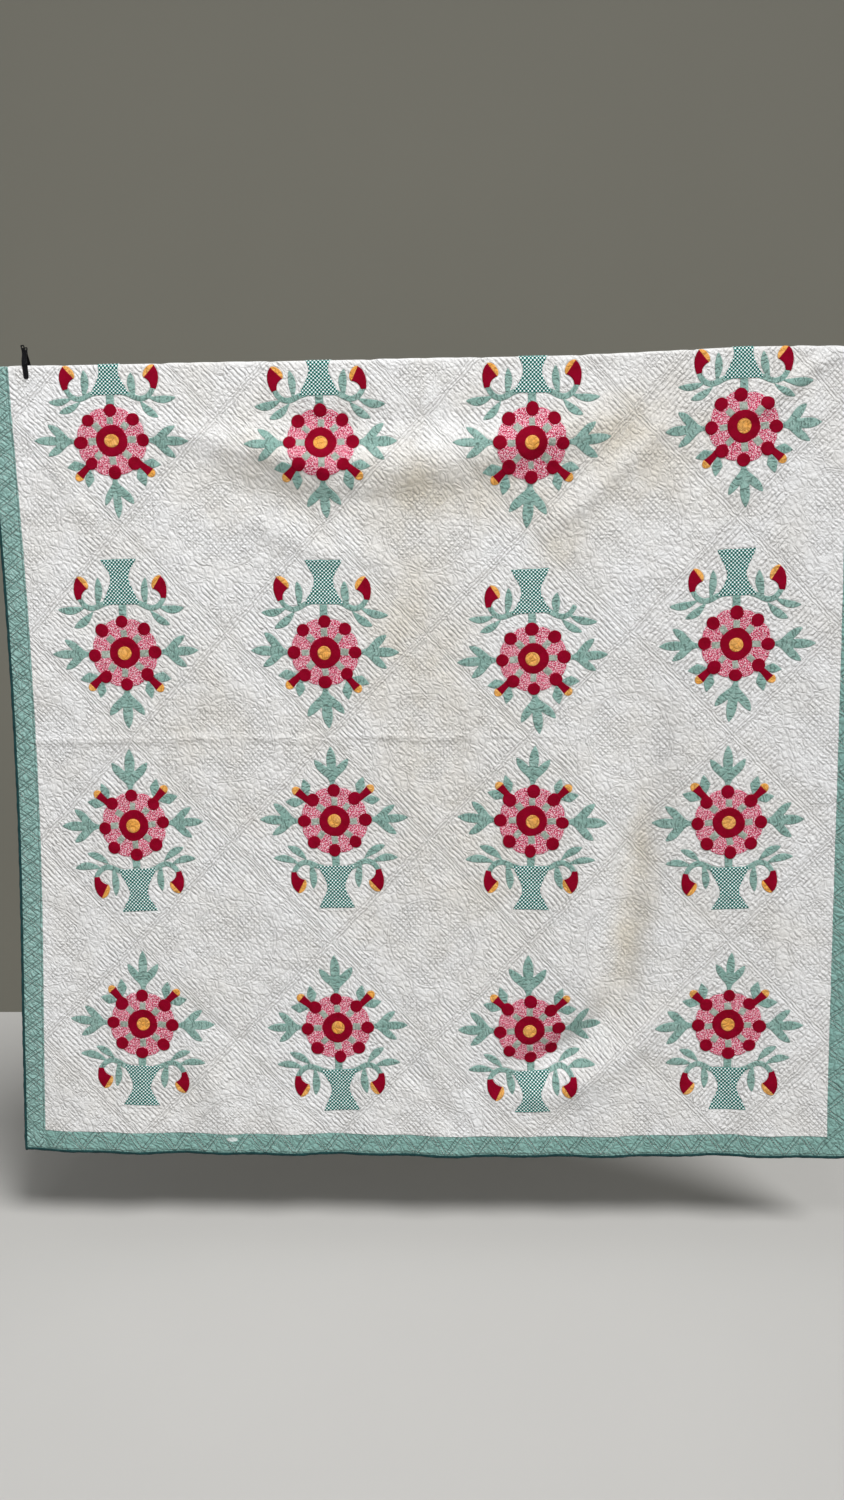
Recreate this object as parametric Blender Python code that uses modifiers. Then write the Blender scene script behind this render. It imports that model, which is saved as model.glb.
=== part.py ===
"""An applique quilt about two metres square, hung over a line so that a short drop shows only from behind.

The origin is the middle of the space that the line passes through, inside the fold at the top edge.
X runs along the line, -Y is the side that faces the viewer and Z is up. Sizes are in metres.
"""

import math

import bpy
import numpy as np

# The flat layout of the quilt. Across is measured from its middle, down from the top of the fold.
BLOCKS = 4
PITCH_ACROSS = 0.480
PITCH_DOWN = 0.499
FIELD_HALF_WIDTH = 0.960
FIELD_HALF_HEIGHT = 0.980
FIELD_MIDDLE = 0.883
BORDER_WIDTH = 0.050
BINDING_WIDTH = 0.006
SEAM_GAP = 0.0003

# The cloth itself.
THICKNESS = 0.004
PUFF = 0.0014
BINDING_THICKNESS = 0.0052
FOLD_RADIUS = 0.0075
CRINKLE = 0.0005
GRID_PER_BLOCK = 12
ARC_STEPS = 6

# How the hung cloth leaves its plane: the line each fold follows, its push to the front and its half width.
FOLDS = (
    # the swag under the first row of flowers
    (
        (
            (-0.62, 0.14),
            (-0.47, 0.185),
            (-0.36, 0.22),
            (-0.22, 0.25),
            (-0.06, 0.245),
            (0.10, 0.22),
            (0.25, 0.185),
            (0.42, 0.13),
            (0.60, 0.06),
        ),
        0.021,
        0.052,
    ),
    # the hollow over it
    (((-0.50, 0.08), (-0.30, 0.12), (-0.10, 0.13), (0.10, 0.115), (0.30, 0.07)), -0.010, 0.034),
    # the pull towards the right end of the line
    (((0.66, 0.06), (0.56, 0.16), (0.44, 0.26), (0.34, 0.34), (0.22, 0.42)), 0.010, 0.026),
    # the long valley between the third and the fourth column
    (
        (
            (0.60, 0.66),
            (0.55, 0.90),
            (0.505, 1.14),
            (0.475, 1.36),
            (0.455, 1.50),
            (0.42, 1.58),
            (0.34, 1.655),
            (0.22, 1.70),
            (0.08, 1.71),
        ),
        -0.027,
        0.050,
    ),
    # the rolls of cloth left of that valley and under it
    (((0.44, 0.85), (0.39, 1.05), (0.35, 1.28), (0.30, 1.46), (0.20, 1.58)), 0.010, 0.055),
    (((0.60, 1.50), (0.52, 1.62), (0.42, 1.71), (0.30, 1.755), (0.16, 1.76)), 0.010, 0.034),
    # the ripples that end in the lower border
    (((-0.10, 1.62), (0.00, 1.76), (0.08, 1.88)), -0.005, 0.030),
    (((-0.58, 1.66), (-0.52, 1.78), (-0.50, 1.90)), 0.004, 0.034),
    (((0.62, 1.70), (0.66, 1.80), (0.72, 1.91)), 0.004, 0.034),
)

# Where the cloth is drawn up or has slipped down along its plane: across, down, reach, rise.
PULLS = (
    (0.74, 0.22, 0.30, 0.014),
    (0.25, 0.42, 0.34, -0.015),
    (0.25, 1.60, 0.28, -0.010),
    (0.74, 1.62, 0.26, 0.006),
    (-0.72, 0.30, 0.28, 0.005),
    (-0.98, 1.92, 0.30, 0.007),
)

# The clip, measured on its own axis: it stands across the fold near the left end.
CLIP_ACROSS = -0.932
CLIP_RISE = 0.0073
CLIP_LEAN = math.radians(5)
CLIP_PLATE = 0.0012
CLIP_GAP = 0.0003
CLIP_PIN_HEIGHT = 0.030
CLIP_COIL_RADIUS = 0.0030
CLIP_COIL_LENGTH = 0.0110
CLIP_EYE_RADIUS = 0.0020

for leftover in list(bpy.data.objects):
    bpy.data.objects.remove(leftover, do_unlink=True)


def collection_named(name, hidden=False):
    made = bpy.data.collections.new(name)
    made.hide_render = hidden
    bpy.context.scene.collection.children.link(made)
    return made


def material_named(name, colour, roughness, metallic=0.0):
    made = bpy.data.materials.new(name)
    made.use_nodes = True
    shader = made.node_tree.nodes["Principled BSDF"]
    shader.inputs["Base Color"].default_value = (*colour, 1.0)
    shader.inputs["Roughness"].default_value = roughness
    shader.inputs["Metallic"].default_value = metallic
    made.diffuse_color = (*colour, 1.0)
    return made


quilt = collection_named("Applique quilt")
cutters = collection_named("Cutters", hidden=True)

muslin = material_named("Quilted white cotton", (0.72, 0.70, 0.66), 0.9)
aqua = material_named("Aqua cotton", (0.216, 0.445, 0.352), 0.9)
teal = material_named("Dark teal binding", (0.008, 0.045, 0.045), 0.85)
metal = material_named("Blackened steel", (0.025, 0.025, 0.027), 0.38, 0.9)


def eased(value, low, high):
    step = np.clip((value - low) / (high - low), 0, 1)
    return step * step * (3 - 2 * step)


def smooth_line(points, count=160):
    """A smooth line through the points, as a rope laid over them would run."""
    fixed = np.array(points, float)
    ends = np.vstack([2 * fixed[0] - fixed[1], fixed, 2 * fixed[-1] - fixed[-2]])
    place = np.linspace(0, len(fixed) - 1.000001, count)
    first = place.astype(int)
    part = (place - first)[:, None]
    a, b, c, d = (ends[first + k] for k in range(4))
    bent = 2 * b + (c - a) * part
    bent += (2 * a - 5 * b + 4 * c - d) * part**2
    bent += (3 * b - a - 3 * c + d) * part**3
    return bent / 2


def fold_push(across, down):
    """How far the folds push the cloth to the front at each place."""
    push = np.zeros_like(across)
    for points, height, width in FOLDS:
        line = smooth_line(points)
        gap = (across[..., None] - line[:, 0]) ** 2 + (down[..., None] - line[:, 1]) ** 2
        near = gap.argmin(-1)
        along = near / (len(line) - 1)
        taper = eased(along, 0, 0.30) * (1 - eased(along, 0.72, 1.0))
        push += height * taper * np.exp(-gap.min(-1) / width**2)
    push += 0.0025 * np.sin(2 * math.pi * (across / 0.83 + down / 1.9) + 0.8)
    push += 0.0012 * np.sin(2 * math.pi * (across / 0.37 - down / 1.1) + 2.1)
    hem = eased(down, 1.45, 1.95)
    push += hem * 0.0045 * np.sin(2 * math.pi * across / 0.41 + 1.0)
    push += hem * 0.0035 * np.sin(2 * math.pi * across / 0.19 + 0.3)
    return push * eased(down, 0.045, 0.20)


def crinkle(across, down):
    """The small washed-in unevenness of the whole surface."""
    rough = np.sin(131 * across + 37 * down + 1.7) * np.sin(89 * down - 53 * across)
    rough += 0.7 * np.sin(211 * down + 97 * across + 0.5) * np.sin(167 * across - 61 * down)
    return CRINKLE * rough * eased(np.abs(down), 0.045, 0.10)


def hung(across, down, wrinkled=True):
    """Where each place of the flat quilt hangs. Below zero, down runs along the drop behind the line."""
    turn = FOLD_RADIUS * math.pi / 2
    angle = np.clip(down, -turn, turn) / FOLD_RADIUS
    drop = np.maximum(np.abs(down) - turn, 0)
    push = fold_push(across, np.maximum(down, 0))
    push = np.where(down < 0, 0.0012 * np.sin(9 * across) * eased(-down, 0.045, 0.12), push)
    if wrinkled:
        push = push + crinkle(across, down)
    reach = FOLD_RADIUS + push
    spread = 0.013 * np.exp(-((down / 0.40) ** 2)) - 0.006 * np.sin(math.pi * np.clip(down / 1.9, 0, 1))
    left = 0.009 * np.sin(math.pi * np.clip(down / 1.9, 0, 1)) - 0.009 * eased(down, 1.0, 1.95)
    right = 0.010 * np.sin(math.pi * np.clip(down / 1.75, 0, 1)) - 0.016 * np.exp(-((down / 0.33) ** 2))
    edge_left, edge_right = np.clip(-across / 0.96, 0, 1) ** 3, np.clip(across / 0.96, 0, 1) ** 3
    x = across * (1 + spread) + left * edge_left + right * edge_right
    y = -reach * np.sin(angle)
    z = reach * np.cos(angle) - drop
    # The fold rides a little higher over the line near its right end.
    z = z + 0.0125 * np.exp(-(((across - 0.78) / 0.27) ** 2)) * (1 - eased(down, 0.03, 0.15))
    for place, depth, size, rise in PULLS:
        away = (across - place) ** 2 + (down - depth) ** 2
        z = z + rise * np.exp(-away / size**2) * eased(down, 0.03, 0.15)
    return x, y, z


def puffed(across, down):
    """From 0 on a quilted block seam to 1 in the middle of the puff beside it."""
    p = across / PITCH_ACROSS
    q = (down - FIELD_MIDDLE) / PITCH_DOWN
    rising = np.abs((p + q) % 1.0 - 0.5)
    falling = np.abs((p - q) % 1.0 - 0.5)
    away = np.minimum(rising, falling) * PITCH_ACROSS / math.sqrt(2)
    return 1 - np.exp(-((away / 0.012) ** 2))


def sheet(name, across, down, material, thickness=THICKNESS, puff=0.0):
    """A cloth piece: an open grid laid on the hung surface and given its thickness."""
    columns, rows = len(across) - 1, len(down) - 1
    bpy.ops.mesh.primitive_grid_add(x_subdivisions=columns, y_subdivisions=rows, size=2)
    piece = bpy.context.object
    piece.name = name
    piece.data.name = name
    flat = np.empty(len(piece.data.vertices) * 3)
    piece.data.vertices.foreach_get("co", flat)
    flat = flat.reshape(-1, 3)
    column = np.rint((flat[:, 0] + 1) / 2 * columns).astype(int)
    row = np.rint((1 - flat[:, 1]) / 2 * rows).astype(int)
    u, v = np.asarray(across)[column], np.asarray(down)[row]
    points = np.stack(hung(u, v), axis=1)
    piece.data.vertices.foreach_set("co", points.ravel())
    group = piece.vertex_groups.new(name="Puff")
    swell = puff * (puffed(u, v) * eased(np.abs(v), 0.02, 0.05) - 0.5)
    full = np.clip((THICKNESS + swell) / (THICKNESS + puff), 0, 1)
    for index, weight in enumerate(full):
        group.add([index], float(weight) if puff else 1.0, "REPLACE")
    shell = piece.modifiers.new("Thickness", "SOLIDIFY")
    shell.thickness = thickness + puff
    shell.offset = 0
    shell.vertex_group = "Puff"
    piece.data.materials.append(material)
    move_to(piece, quilt)
    return piece


def move_to(piece, group):
    for holder in list(piece.users_collection):
        holder.objects.unlink(piece)
    group.objects.link(piece)


def steps(low, high, pitch, start):
    """Grid places between two edges, on a lattice that passes through start, with both edges kept."""
    first = math.ceil((low + pitch * 0.35 - start) / pitch)
    last = math.floor((high - pitch * 0.35 - start) / pitch)
    return [low] + [start + k * pitch for k in range(first, last + 1)] + [high]


# The rows of the grid: down the drop behind, round the fold, then down the front on the block lattice.
turn = FOLD_RADIUS * math.pi / 2
top = FIELD_MIDDLE - FIELD_HALF_HEIGHT
bottom = FIELD_MIDDLE + FIELD_HALF_HEIGHT
row_pitch = PITCH_DOWN / GRID_PER_BLOCK
column_pitch = PITCH_ACROSS / GRID_PER_BLOCK
arc = [turn * (2 * k / ARC_STEPS - 1) for k in range(ARC_STEPS + 1)]
front = steps(turn, bottom, row_pitch, FIELD_MIDDLE)[1:]
behind = [top, top * 0.62 - turn * 0.38, top * 0.28 - turn * 0.72]
field_rows = behind + arc + front
field_columns = steps(-FIELD_HALF_WIDTH, FIELD_HALF_WIDTH, column_pitch, 0)

outer_x = FIELD_HALF_WIDTH + BORDER_WIDTH
edge_x = outer_x + BINDING_WIDTH
outer_top = top - BORDER_WIDTH
edge_top = outer_top - BINDING_WIDTH
outer_bottom = bottom + BORDER_WIDTH
edge_bottom = outer_bottom + BINDING_WIDTH

sheet("quilt_ground", field_columns, field_rows, muslin, puff=PUFF)

# Each border is one strip. The side strips run the full height and the other two fit between them.
side_rows = [outer_top + SEAM_GAP, (outer_top + top) / 2] + field_rows + [(bottom + outer_bottom) / 2]
side_rows = side_rows + [outer_bottom - SEAM_GAP]
inner = FIELD_HALF_WIDTH + SEAM_GAP
middle = FIELD_HALF_WIDTH + BORDER_WIDTH / 2
outer = outer_x - SEAM_GAP
sheet("border_left", [-outer, -middle, -inner], side_rows, aqua)
sheet("border_right", [inner, middle, outer], side_rows, aqua)
cross_columns = [-FIELD_HALF_WIDTH + SEAM_GAP] + field_columns[1:-1] + [FIELD_HALF_WIDTH - SEAM_GAP]
lower = [bottom + SEAM_GAP * 2, (bottom + outer_bottom) / 2, outer_bottom - SEAM_GAP]
upper = [outer_top + SEAM_GAP, (outer_top + top) / 2, top - SEAM_GAP * 2]
sheet("border_bottom", cross_columns, lower, aqua)
sheet("border_top", cross_columns, upper, aqua)

# The binding closes the edge all round.
binding_rows = [edge_top] + side_rows[1:-1] + [edge_bottom]
for name, side in (("binding_left", -1), ("binding_right", 1)):
    strip = sorted((side * (outer_x + SEAM_GAP), side * edge_x))
    sheet(name, strip, binding_rows, teal, thickness=BINDING_THICKNESS)
binding_columns = [-outer_x + SEAM_GAP, -middle] + field_columns + [middle, outer_x - SEAM_GAP]
bottom_rows = [outer_bottom + SEAM_GAP, edge_bottom]
top_rows = [edge_top, outer_top - SEAM_GAP]
sheet("binding_bottom", binding_columns, bottom_rows, teal, thickness=BINDING_THICKNESS)
sheet("binding_top", binding_columns, top_rows, teal, thickness=BINDING_THICKNESS)

# The clip: two bent arms on a coil, a jaw on each side of the fold and an eye in each handle.
face = FOLD_RADIUS + THICKNESS / 2 + CLIP_GAP + CLIP_PLATE / 2
pinch = CLIP_COIL_RADIUS + CLIP_GAP + CLIP_PLATE / 2
ARM = (
    # distance from the fold's middle plane, height, half width
    (face + 0.0012, -0.0295, 0.0028),
    (face + 0.0004, -0.0285, 0.0046),
    (face + 0.0001, -0.0255, 0.0062),
    (face, -0.0140, 0.0065),
    (face, -0.0030, 0.0065),
    (face + 0.0006, 0.0050, 0.0065),
    (face - 0.0006, 0.0120, 0.0064),
    (face - 0.0028, 0.0190, 0.0060),
    (pinch + 0.0002, 0.0265, 0.0056),
    (pinch, 0.0310, 0.0052),
    (pinch + 0.0015, 0.0360, 0.0046),
    (pinch + 0.0034, 0.0405, 0.0044),
    (pinch + 0.0048, 0.0435, 0.0046),
    (pinch + 0.0060, 0.0460, 0.0043),
    (pinch + 0.0070, 0.0480, 0.0030),
)


def clip_arm(name, side):
    """One arm: a strip bent along the side view above, with its width changing on the way."""
    bpy.ops.mesh.primitive_grid_add(x_subdivisions=4, y_subdivisions=len(ARM) - 1, size=2)
    arm = bpy.context.object
    arm.name = name
    arm.data.name = name
    for vertex in arm.data.vertices:
        away, height, half = ARM[round((vertex.co.y + 1) / 2 * (len(ARM) - 1))]
        vertex.co = (vertex.co.x * half, -side * away, height)
    if side < 0:
        arm.data.flip_normals()
    plate = arm.modifiers.new("Plate", "SOLIDIFY")
    plate.thickness = CLIP_PLATE
    plate.offset = 0
    bpy.ops.mesh.primitive_cylinder_add(vertices=20, radius=CLIP_EYE_RADIUS, depth=0.03)
    drill = bpy.context.object
    drill.name = name + "_eye_drill"
    drill.location = (0, -side * (pinch + 0.0048), 0.0436)
    drill.rotation_euler = (math.pi / 2, 0, 0)
    drill.hide_render = True
    drill.display_type = "WIRE"
    eye = arm.modifiers.new("Eye", "BOOLEAN")
    eye.operation = "DIFFERENCE"
    eye.solver = "EXACT"
    eye.object = drill
    move_to(drill, cutters)
    arm.data.materials.append(metal)
    move_to(arm, quilt)
    return arm, drill


def clip_spring():
    """The coil between the arms, turned from its outline round the pin, which runs along X."""
    outline = [(0.0, -CLIP_COIL_LENGTH / 2)]
    turns = 5
    wire = CLIP_COIL_LENGTH / (2 * turns)
    for k in range(turns):
        for part in (0.15, 0.5, 0.85):
            swell = 0.0007 * math.sin(math.pi * part)
            place = 2 * wire * (k + part) - CLIP_COIL_LENGTH / 2
            outline.append((CLIP_COIL_RADIUS - 0.0007 + swell, place))
    outline.append((0.0, CLIP_COIL_LENGTH / 2))
    profile = bpy.data.meshes.new("clip_spring")
    profile.from_pydata([(r, 0, a) for r, a in outline], [(k, k + 1) for k in range(len(outline) - 1)], [])
    spring = bpy.data.objects.new("clip_spring", profile)
    quilt.objects.link(spring)
    turned = spring.modifiers.new("Turned", "SCREW")
    turned.axis = "Z"
    turned.steps = 16
    turned.render_steps = 16
    turned.use_merge_vertices = True
    turned.merge_threshold = 0.0001
    turned.use_normal_flip = True
    spring.rotation_euler = (0, math.pi / 2, 0)
    spring.location = (0, 0, CLIP_PIN_HEIGHT)
    spring.data.materials.append(metal)
    return spring


bpy.ops.object.empty_add(type="PLAIN_AXES", location=(CLIP_ACROSS, 0, CLIP_RISE), rotation=(0, -CLIP_LEAN, 0))
clip = bpy.context.object
clip.name = "clip"
move_to(clip, quilt)
parts = [clip_spring()]
parts += clip_arm("clip_jaw_front", 1)
parts += clip_arm("clip_jaw_back", -1)
for member in parts:
    member.parent = clip
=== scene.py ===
# %% [markdown]
# # An applique quilt, hung over a line
#
# A white quilt about two metres square, made between the wars in the rose-in-a-vase tradition: sixteen motifs
# stitched to blocks set on point, an aqua border and a very dark teal binding. It hangs by a fold near its top edge.
#
# The solids of the cloth and the clip are loaded first. Everything below lies on the same folds, in metres, with the
# origin in the middle of the fold, X along the line and -Y towards the viewer.

# %% Load the solids
import math
from typing import NamedTuple

import bpy
import numpy as np
from mathutils import Matrix, Vector, kdtree
from mathutils.geometry import delaunay_2d_cdt


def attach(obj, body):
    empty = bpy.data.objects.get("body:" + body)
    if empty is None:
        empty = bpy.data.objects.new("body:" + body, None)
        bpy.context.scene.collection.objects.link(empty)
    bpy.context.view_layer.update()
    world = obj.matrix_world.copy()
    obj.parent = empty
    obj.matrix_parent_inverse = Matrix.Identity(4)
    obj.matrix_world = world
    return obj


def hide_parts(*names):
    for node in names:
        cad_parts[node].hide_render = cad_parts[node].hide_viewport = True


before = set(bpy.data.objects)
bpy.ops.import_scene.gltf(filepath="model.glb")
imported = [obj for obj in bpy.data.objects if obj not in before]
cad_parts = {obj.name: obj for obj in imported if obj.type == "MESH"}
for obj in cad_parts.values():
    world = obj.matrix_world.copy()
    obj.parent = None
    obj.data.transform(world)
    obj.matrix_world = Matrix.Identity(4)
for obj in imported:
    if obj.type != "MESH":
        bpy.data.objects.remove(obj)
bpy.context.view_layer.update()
print("solids:", sorted(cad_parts))

# %% [markdown]
# ## Flat sizes
#
# The quilt is laid out flat, as a maker would draft it: blocks 0.48 m from point to point across and a little more
# down, because the hanging cloth is drawn in sideways. Across is measured from the middle, down from the fold.

# %% Sizes of the flat quilt
PITCH_ACROSS = 0.480
PITCH_DOWN = 0.499
HALF_WIDTH = 0.960
HALF_HEIGHT = 0.980
MIDDLE = 0.883
BORDER = 0.050
BINDING = 0.006
ZIGZAG = 0.0375  # half a zigzag of the border's quilting, along the strip
FOLD_RADIUS = 0.0075
TOP = MIDDLE - HALF_HEIGHT
BOTTOM = MIDDLE + HALF_HEIGHT
SEAM_STEP = PITCH_ACROSS * PITCH_DOWN / math.hypot(PITCH_ACROSS, PITCH_DOWN)
LIFT = 0.0022  # from the middle layer to the top
STORED = 0.8800  # how far down the quilt has lain folded in store
GRID = 0.0064
print("flat size", round(2 * (HALF_WIDTH + BORDER + BINDING), 3), round(2 * (HALF_HEIGHT + BORDER + BINDING), 3))

# %% [markdown]
# ## How the cloth hangs
#
# The same folds as the solids have: each is a line on the cloth, how far it comes forward, and how wide it is.
# They are worked out once on a lattice and looked up from there, so that every patch lies on one surface.

# %% The folds
FOLDS = (
    # the swag under the first row of flowers
    (
        ((-0.62, 0.14), (-0.47, 0.185), (-0.36, 0.22), (-0.22, 0.25), (-0.06, 0.245))
        + ((0.10, 0.22), (0.25, 0.185), (0.42, 0.13), (0.60, 0.06)),
        0.021,
        0.052,
    ),
    # the hollow over it
    (((-0.50, 0.08), (-0.30, 0.12), (-0.10, 0.13), (0.10, 0.115), (0.30, 0.07)), -0.010, 0.034),
    # the pull towards the right end of the line
    (((0.66, 0.06), (0.56, 0.16), (0.44, 0.26), (0.34, 0.34), (0.22, 0.42)), 0.010, 0.026),
    # the long valley between the third and the fourth column
    (
        ((0.60, 0.66), (0.55, 0.90), (0.505, 1.14), (0.475, 1.36), (0.455, 1.50))
        + ((0.42, 1.58), (0.34, 1.655), (0.22, 1.70), (0.08, 1.71)),
        -0.027,
        0.050,
    ),
    # the rolls of cloth left of that valley and under it
    (((0.44, 0.85), (0.39, 1.05), (0.35, 1.28), (0.30, 1.46), (0.20, 1.58)), 0.010, 0.055),
    (((0.60, 1.50), (0.52, 1.62), (0.42, 1.71), (0.30, 1.755), (0.16, 1.76)), 0.010, 0.034),
    # the ripples that end in the lower border
    (((-0.10, 1.62), (0.00, 1.76), (0.08, 1.88)), -0.005, 0.030),
    (((-0.58, 1.66), (-0.52, 1.78), (-0.50, 1.90)), 0.004, 0.034),
    (((0.62, 1.70), (0.66, 1.80), (0.72, 1.91)), 0.004, 0.034),
)

# Smaller creases, which only the cloth has: the same three values each.
CREASES = (
    # a second swag under the first
    (((-0.52, 0.30), (-0.38, 0.38), (-0.27, 0.43), (-0.15, 0.45), (-0.02, 0.45)), 0.0045, 0.028),
    # the short pull at the left end of the line
    (((-1.00, 0.04), (-0.92, 0.16), (-0.83, 0.30), (-0.77, 0.42)), 0.0035, 0.022),
    # the left end of the swag
    (((-0.78, 0.09), (-0.62, 0.15), (-0.46, 0.195), (-0.30, 0.23), (-0.16, 0.25)), 0.008, 0.036),
    # the bottom of the long valley, and the roll under it
    (((0.59, 0.70), (0.54, 0.92), (0.50, 1.14), (0.475, 1.34), (0.46, 1.52)), -0.006, 0.028),
    (((0.52, 1.34), (0.485, 1.45), (0.445, 1.53), (0.37, 1.605), (0.26, 1.655), (0.14, 1.67)), -0.0095, 0.032),
    (((0.62, 1.45), (0.545, 1.57), (0.455, 1.655), (0.34, 1.71), (0.20, 1.73)), 0.010, 0.030),
    # slanting creases near the lower border
    (((-0.66, 1.47), (-0.57, 1.56), (-0.47, 1.62), (-0.38, 1.67)), -0.0035, 0.018),
    (((-0.52, 1.90), (-0.46, 1.82), (-0.40, 1.76)), 0.003, 0.018),
    # wrinkles along the upper side of the swag
    (((-0.46, 0.13), (-0.30, 0.175), (-0.12, 0.19), (0.06, 0.17)), -0.0022, 0.012),
    (((-0.30, 0.205), (-0.12, 0.222), (0.05, 0.205), (0.20, 0.16)), 0.0020, 0.010),
    (((-0.55, 0.21), (-0.38, 0.265), (-0.20, 0.295), (0.00, 0.290)), 0.0022, 0.013),
)
# The short pull from the right end of the line starts at the fold itself.
TOP_FOLDS = (
    (((1.04, -0.08), (0.95, 0.0), (0.88, 0.056), (0.81, 0.112), (0.755, 0.155), (0.715, 0.19)), 0.0095, 0.018),
)

# Gentle waves: height, one wave's length across and down, and where it starts. The hem has its own.
WAVES = ((0.0025, 0.83, 1.9, 0.8), (0.0012, 0.37, -1.1, 2.1))
HEM_WAVES = ((0.0045, 0.41, 1.0), (0.0035, 0.19, 0.3))

# Where the cloth is drawn up or has slipped down along its plane: across, down, reach, rise.
PULLS = (
    (0.74, 0.22, 0.30, 0.014),
    (0.25, 0.42, 0.34, -0.015),
    (0.25, 1.60, 0.28, -0.010),
    (0.74, 1.62, 0.26, 0.006),
    (-0.72, 0.30, 0.28, 0.005),
    (-0.98, 1.92, 0.30, 0.007),
)


def eased(value, low, high):
    """From 0 at low to 1 at high, with a soft start and a soft end."""
    step = np.clip((value - low) / (high - low), 0, 1)
    return step * step * (3 - 2 * step)


def bent(a, b, c, d, part):
    """A place between b and c on the smooth curve through all four."""
    return (2 * b + (c - a) * part + (2 * a - 5 * b + 4 * c - d) * part**2 + (3 * b - a - 3 * c + d) * part**3) / 2


def smooth_line(points, count=160):
    """A smooth line through the points, as a rope laid over them would run."""
    fixed = np.array(points, float)
    ends = np.vstack([2 * fixed[0] - fixed[1], fixed, 2 * fixed[-1] - fixed[-2]])
    place = np.linspace(0, len(fixed) - 1.000001, count)
    first = place.astype(int)
    part = (place - first)[:, None]
    return bent(*(ends[first + k] for k in range(4)), part)


def ridge(across, down, points, height, width):
    """One fold along a line, lower towards both ends."""
    line = smooth_line(points)
    gap = (across[..., None] - line[:, 0]) ** 2 + (down[..., None] - line[:, 1]) ** 2
    along = gap.argmin(-1) / (len(line) - 1)
    taper = eased(along, 0, 0.30) * (1 - eased(along, 0.72, 1.0))
    return height * taper * np.exp(-gap.min(-1) / width**2)


def fold_push(across, down):
    """How far the folds push the cloth to the front at each place."""
    push = np.zeros_like(across)
    for fold in FOLDS + CREASES:
        push += ridge(across, down, *fold)
    for height, wide, tall, start in WAVES:
        push += height * np.sin(2 * math.pi * (across / wide + down / tall) + start)
    hem = eased(down, 1.45, 1.95)
    for height, wide, start in HEM_WAVES:
        push += hem * height * np.sin(2 * math.pi * across / wide + start)
    push *= eased(down, 0.045, 0.20)
    for fold in TOP_FOLDS:
        push += ridge(across, down, *fold) * eased(down, -0.015, 0.055)
    return push


class Lattice:
    """A smooth surface over the flat quilt, kept on a coarse lattice."""

    def __init__(self, low, high, pitch, values):
        self.low = np.array(low)
        self.pitch = pitch
        counts = np.ceil((np.array(high) - self.low) / pitch).astype(int) + 1
        u = self.low[0] + pitch * np.arange(counts[0])
        v = self.low[1] + pitch * np.arange(counts[1])
        self.table = values(*np.meshgrid(u, v, indexing="ij"))

    def __call__(self, across, down):
        place = (np.stack([across, down], -1) - self.low) / self.pitch
        whole = np.floor(place).astype(int)
        part = place - whole
        total = 0.0
        for i, wi in enumerate(self.weights(part[..., 0])):
            for j, wj in enumerate(self.weights(part[..., 1])):
                row = np.clip(whole[..., 0] + i - 1, 0, self.table.shape[0] - 1)
                column = np.clip(whole[..., 1] + j - 1, 0, self.table.shape[1] - 1)
                total = total + wi * wj * self.table[row, column]
        return total

    @staticmethod
    def weights(t):
        first = (-t + 2 * t**2 - t**3) / 2
        second = (2 - 5 * t**2 + 3 * t**3) / 2
        third = (t + 4 * t**2 - 3 * t**3) / 2
        fourth = (-(t**2) + t**3) / 2
        return first, second, third, fourth


smooth_push = Lattice((-1.06, -0.02), (1.06, 1.96), 0.010, fold_push)


def crinkle(across, down):
    """The small washed-in unevenness that the solids have too."""
    rough = np.sin(131 * across + 37 * down + 1.7) * np.sin(89 * down - 53 * across)
    rough += 0.7 * np.sin(211 * down + 97 * across + 0.5) * np.sin(167 * across - 61 * down)
    return 0.0005 * rough * eased(np.abs(down), 0.045, 0.10)


def hung(across, down, out=0.0):
    """Where each place of the flat quilt hangs. Out is the distance in front of the cloth's middle layer."""
    turn = FOLD_RADIUS * math.pi / 2
    angle = np.clip(down, -turn, turn) / FOLD_RADIUS
    drop = np.maximum(np.abs(down) - turn, 0)
    push = smooth_push(across, np.maximum(down, 0))
    push = np.where(down < 0, 0.0012 * np.sin(9 * across) * eased(-down, 0.045, 0.12), push)
    reach = FOLD_RADIUS + push + crinkle(across, down) + out
    # The cloth spreads a little at the line, is drawn in below it, and each side edge sways in its own way.
    spread = 0.013 * np.exp(-((down / 0.40) ** 2)) - 0.006 * np.sin(math.pi * np.clip(down / 1.9, 0, 1))
    left = 0.009 * np.sin(math.pi * np.clip(down / 1.9, 0, 1)) - 0.009 * eased(down, 1.0, 1.95)
    right = 0.010 * np.sin(math.pi * np.clip(down / 1.75, 0, 1)) - 0.016 * np.exp(-((down / 0.33) ** 2))
    edge_left, edge_right = np.clip(-across / 0.96, 0, 1) ** 3, np.clip(across / 0.96, 0, 1) ** 3
    x = across * (1 + spread) + left * edge_left + right * edge_right
    y = -reach * np.sin(angle)
    z = reach * np.cos(angle) - drop
    # The fold rides a little higher over the line near its right end.
    z = z + 0.0125 * np.exp(-(((across - 0.78) / 0.27) ** 2)) * (1 - eased(down, 0.03, 0.15))
    for place, depth, size, rise in PULLS:
        z = z + rise * np.exp(-((across - place) ** 2 + (down - depth) ** 2) / size**2) * eased(down, 0.03, 0.15)
    return np.stack([x, y, z], -1)


print("deepest fold", round(float(smooth_push.table.min()), 4), "highest", round(float(smooth_push.table.max()), 4))

# %% [markdown]
# ## The puffed surface
#
# Quilting stitches pull the top down along their lines, and the wadding swells between them. The larger puffs are
# real shape here: the double lines on the block seams, the wreath in each plain block, and the washed-in puckers.
# The lines a centimetre apart that fill the blocks are left to the cloth's own texture further down.

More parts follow.
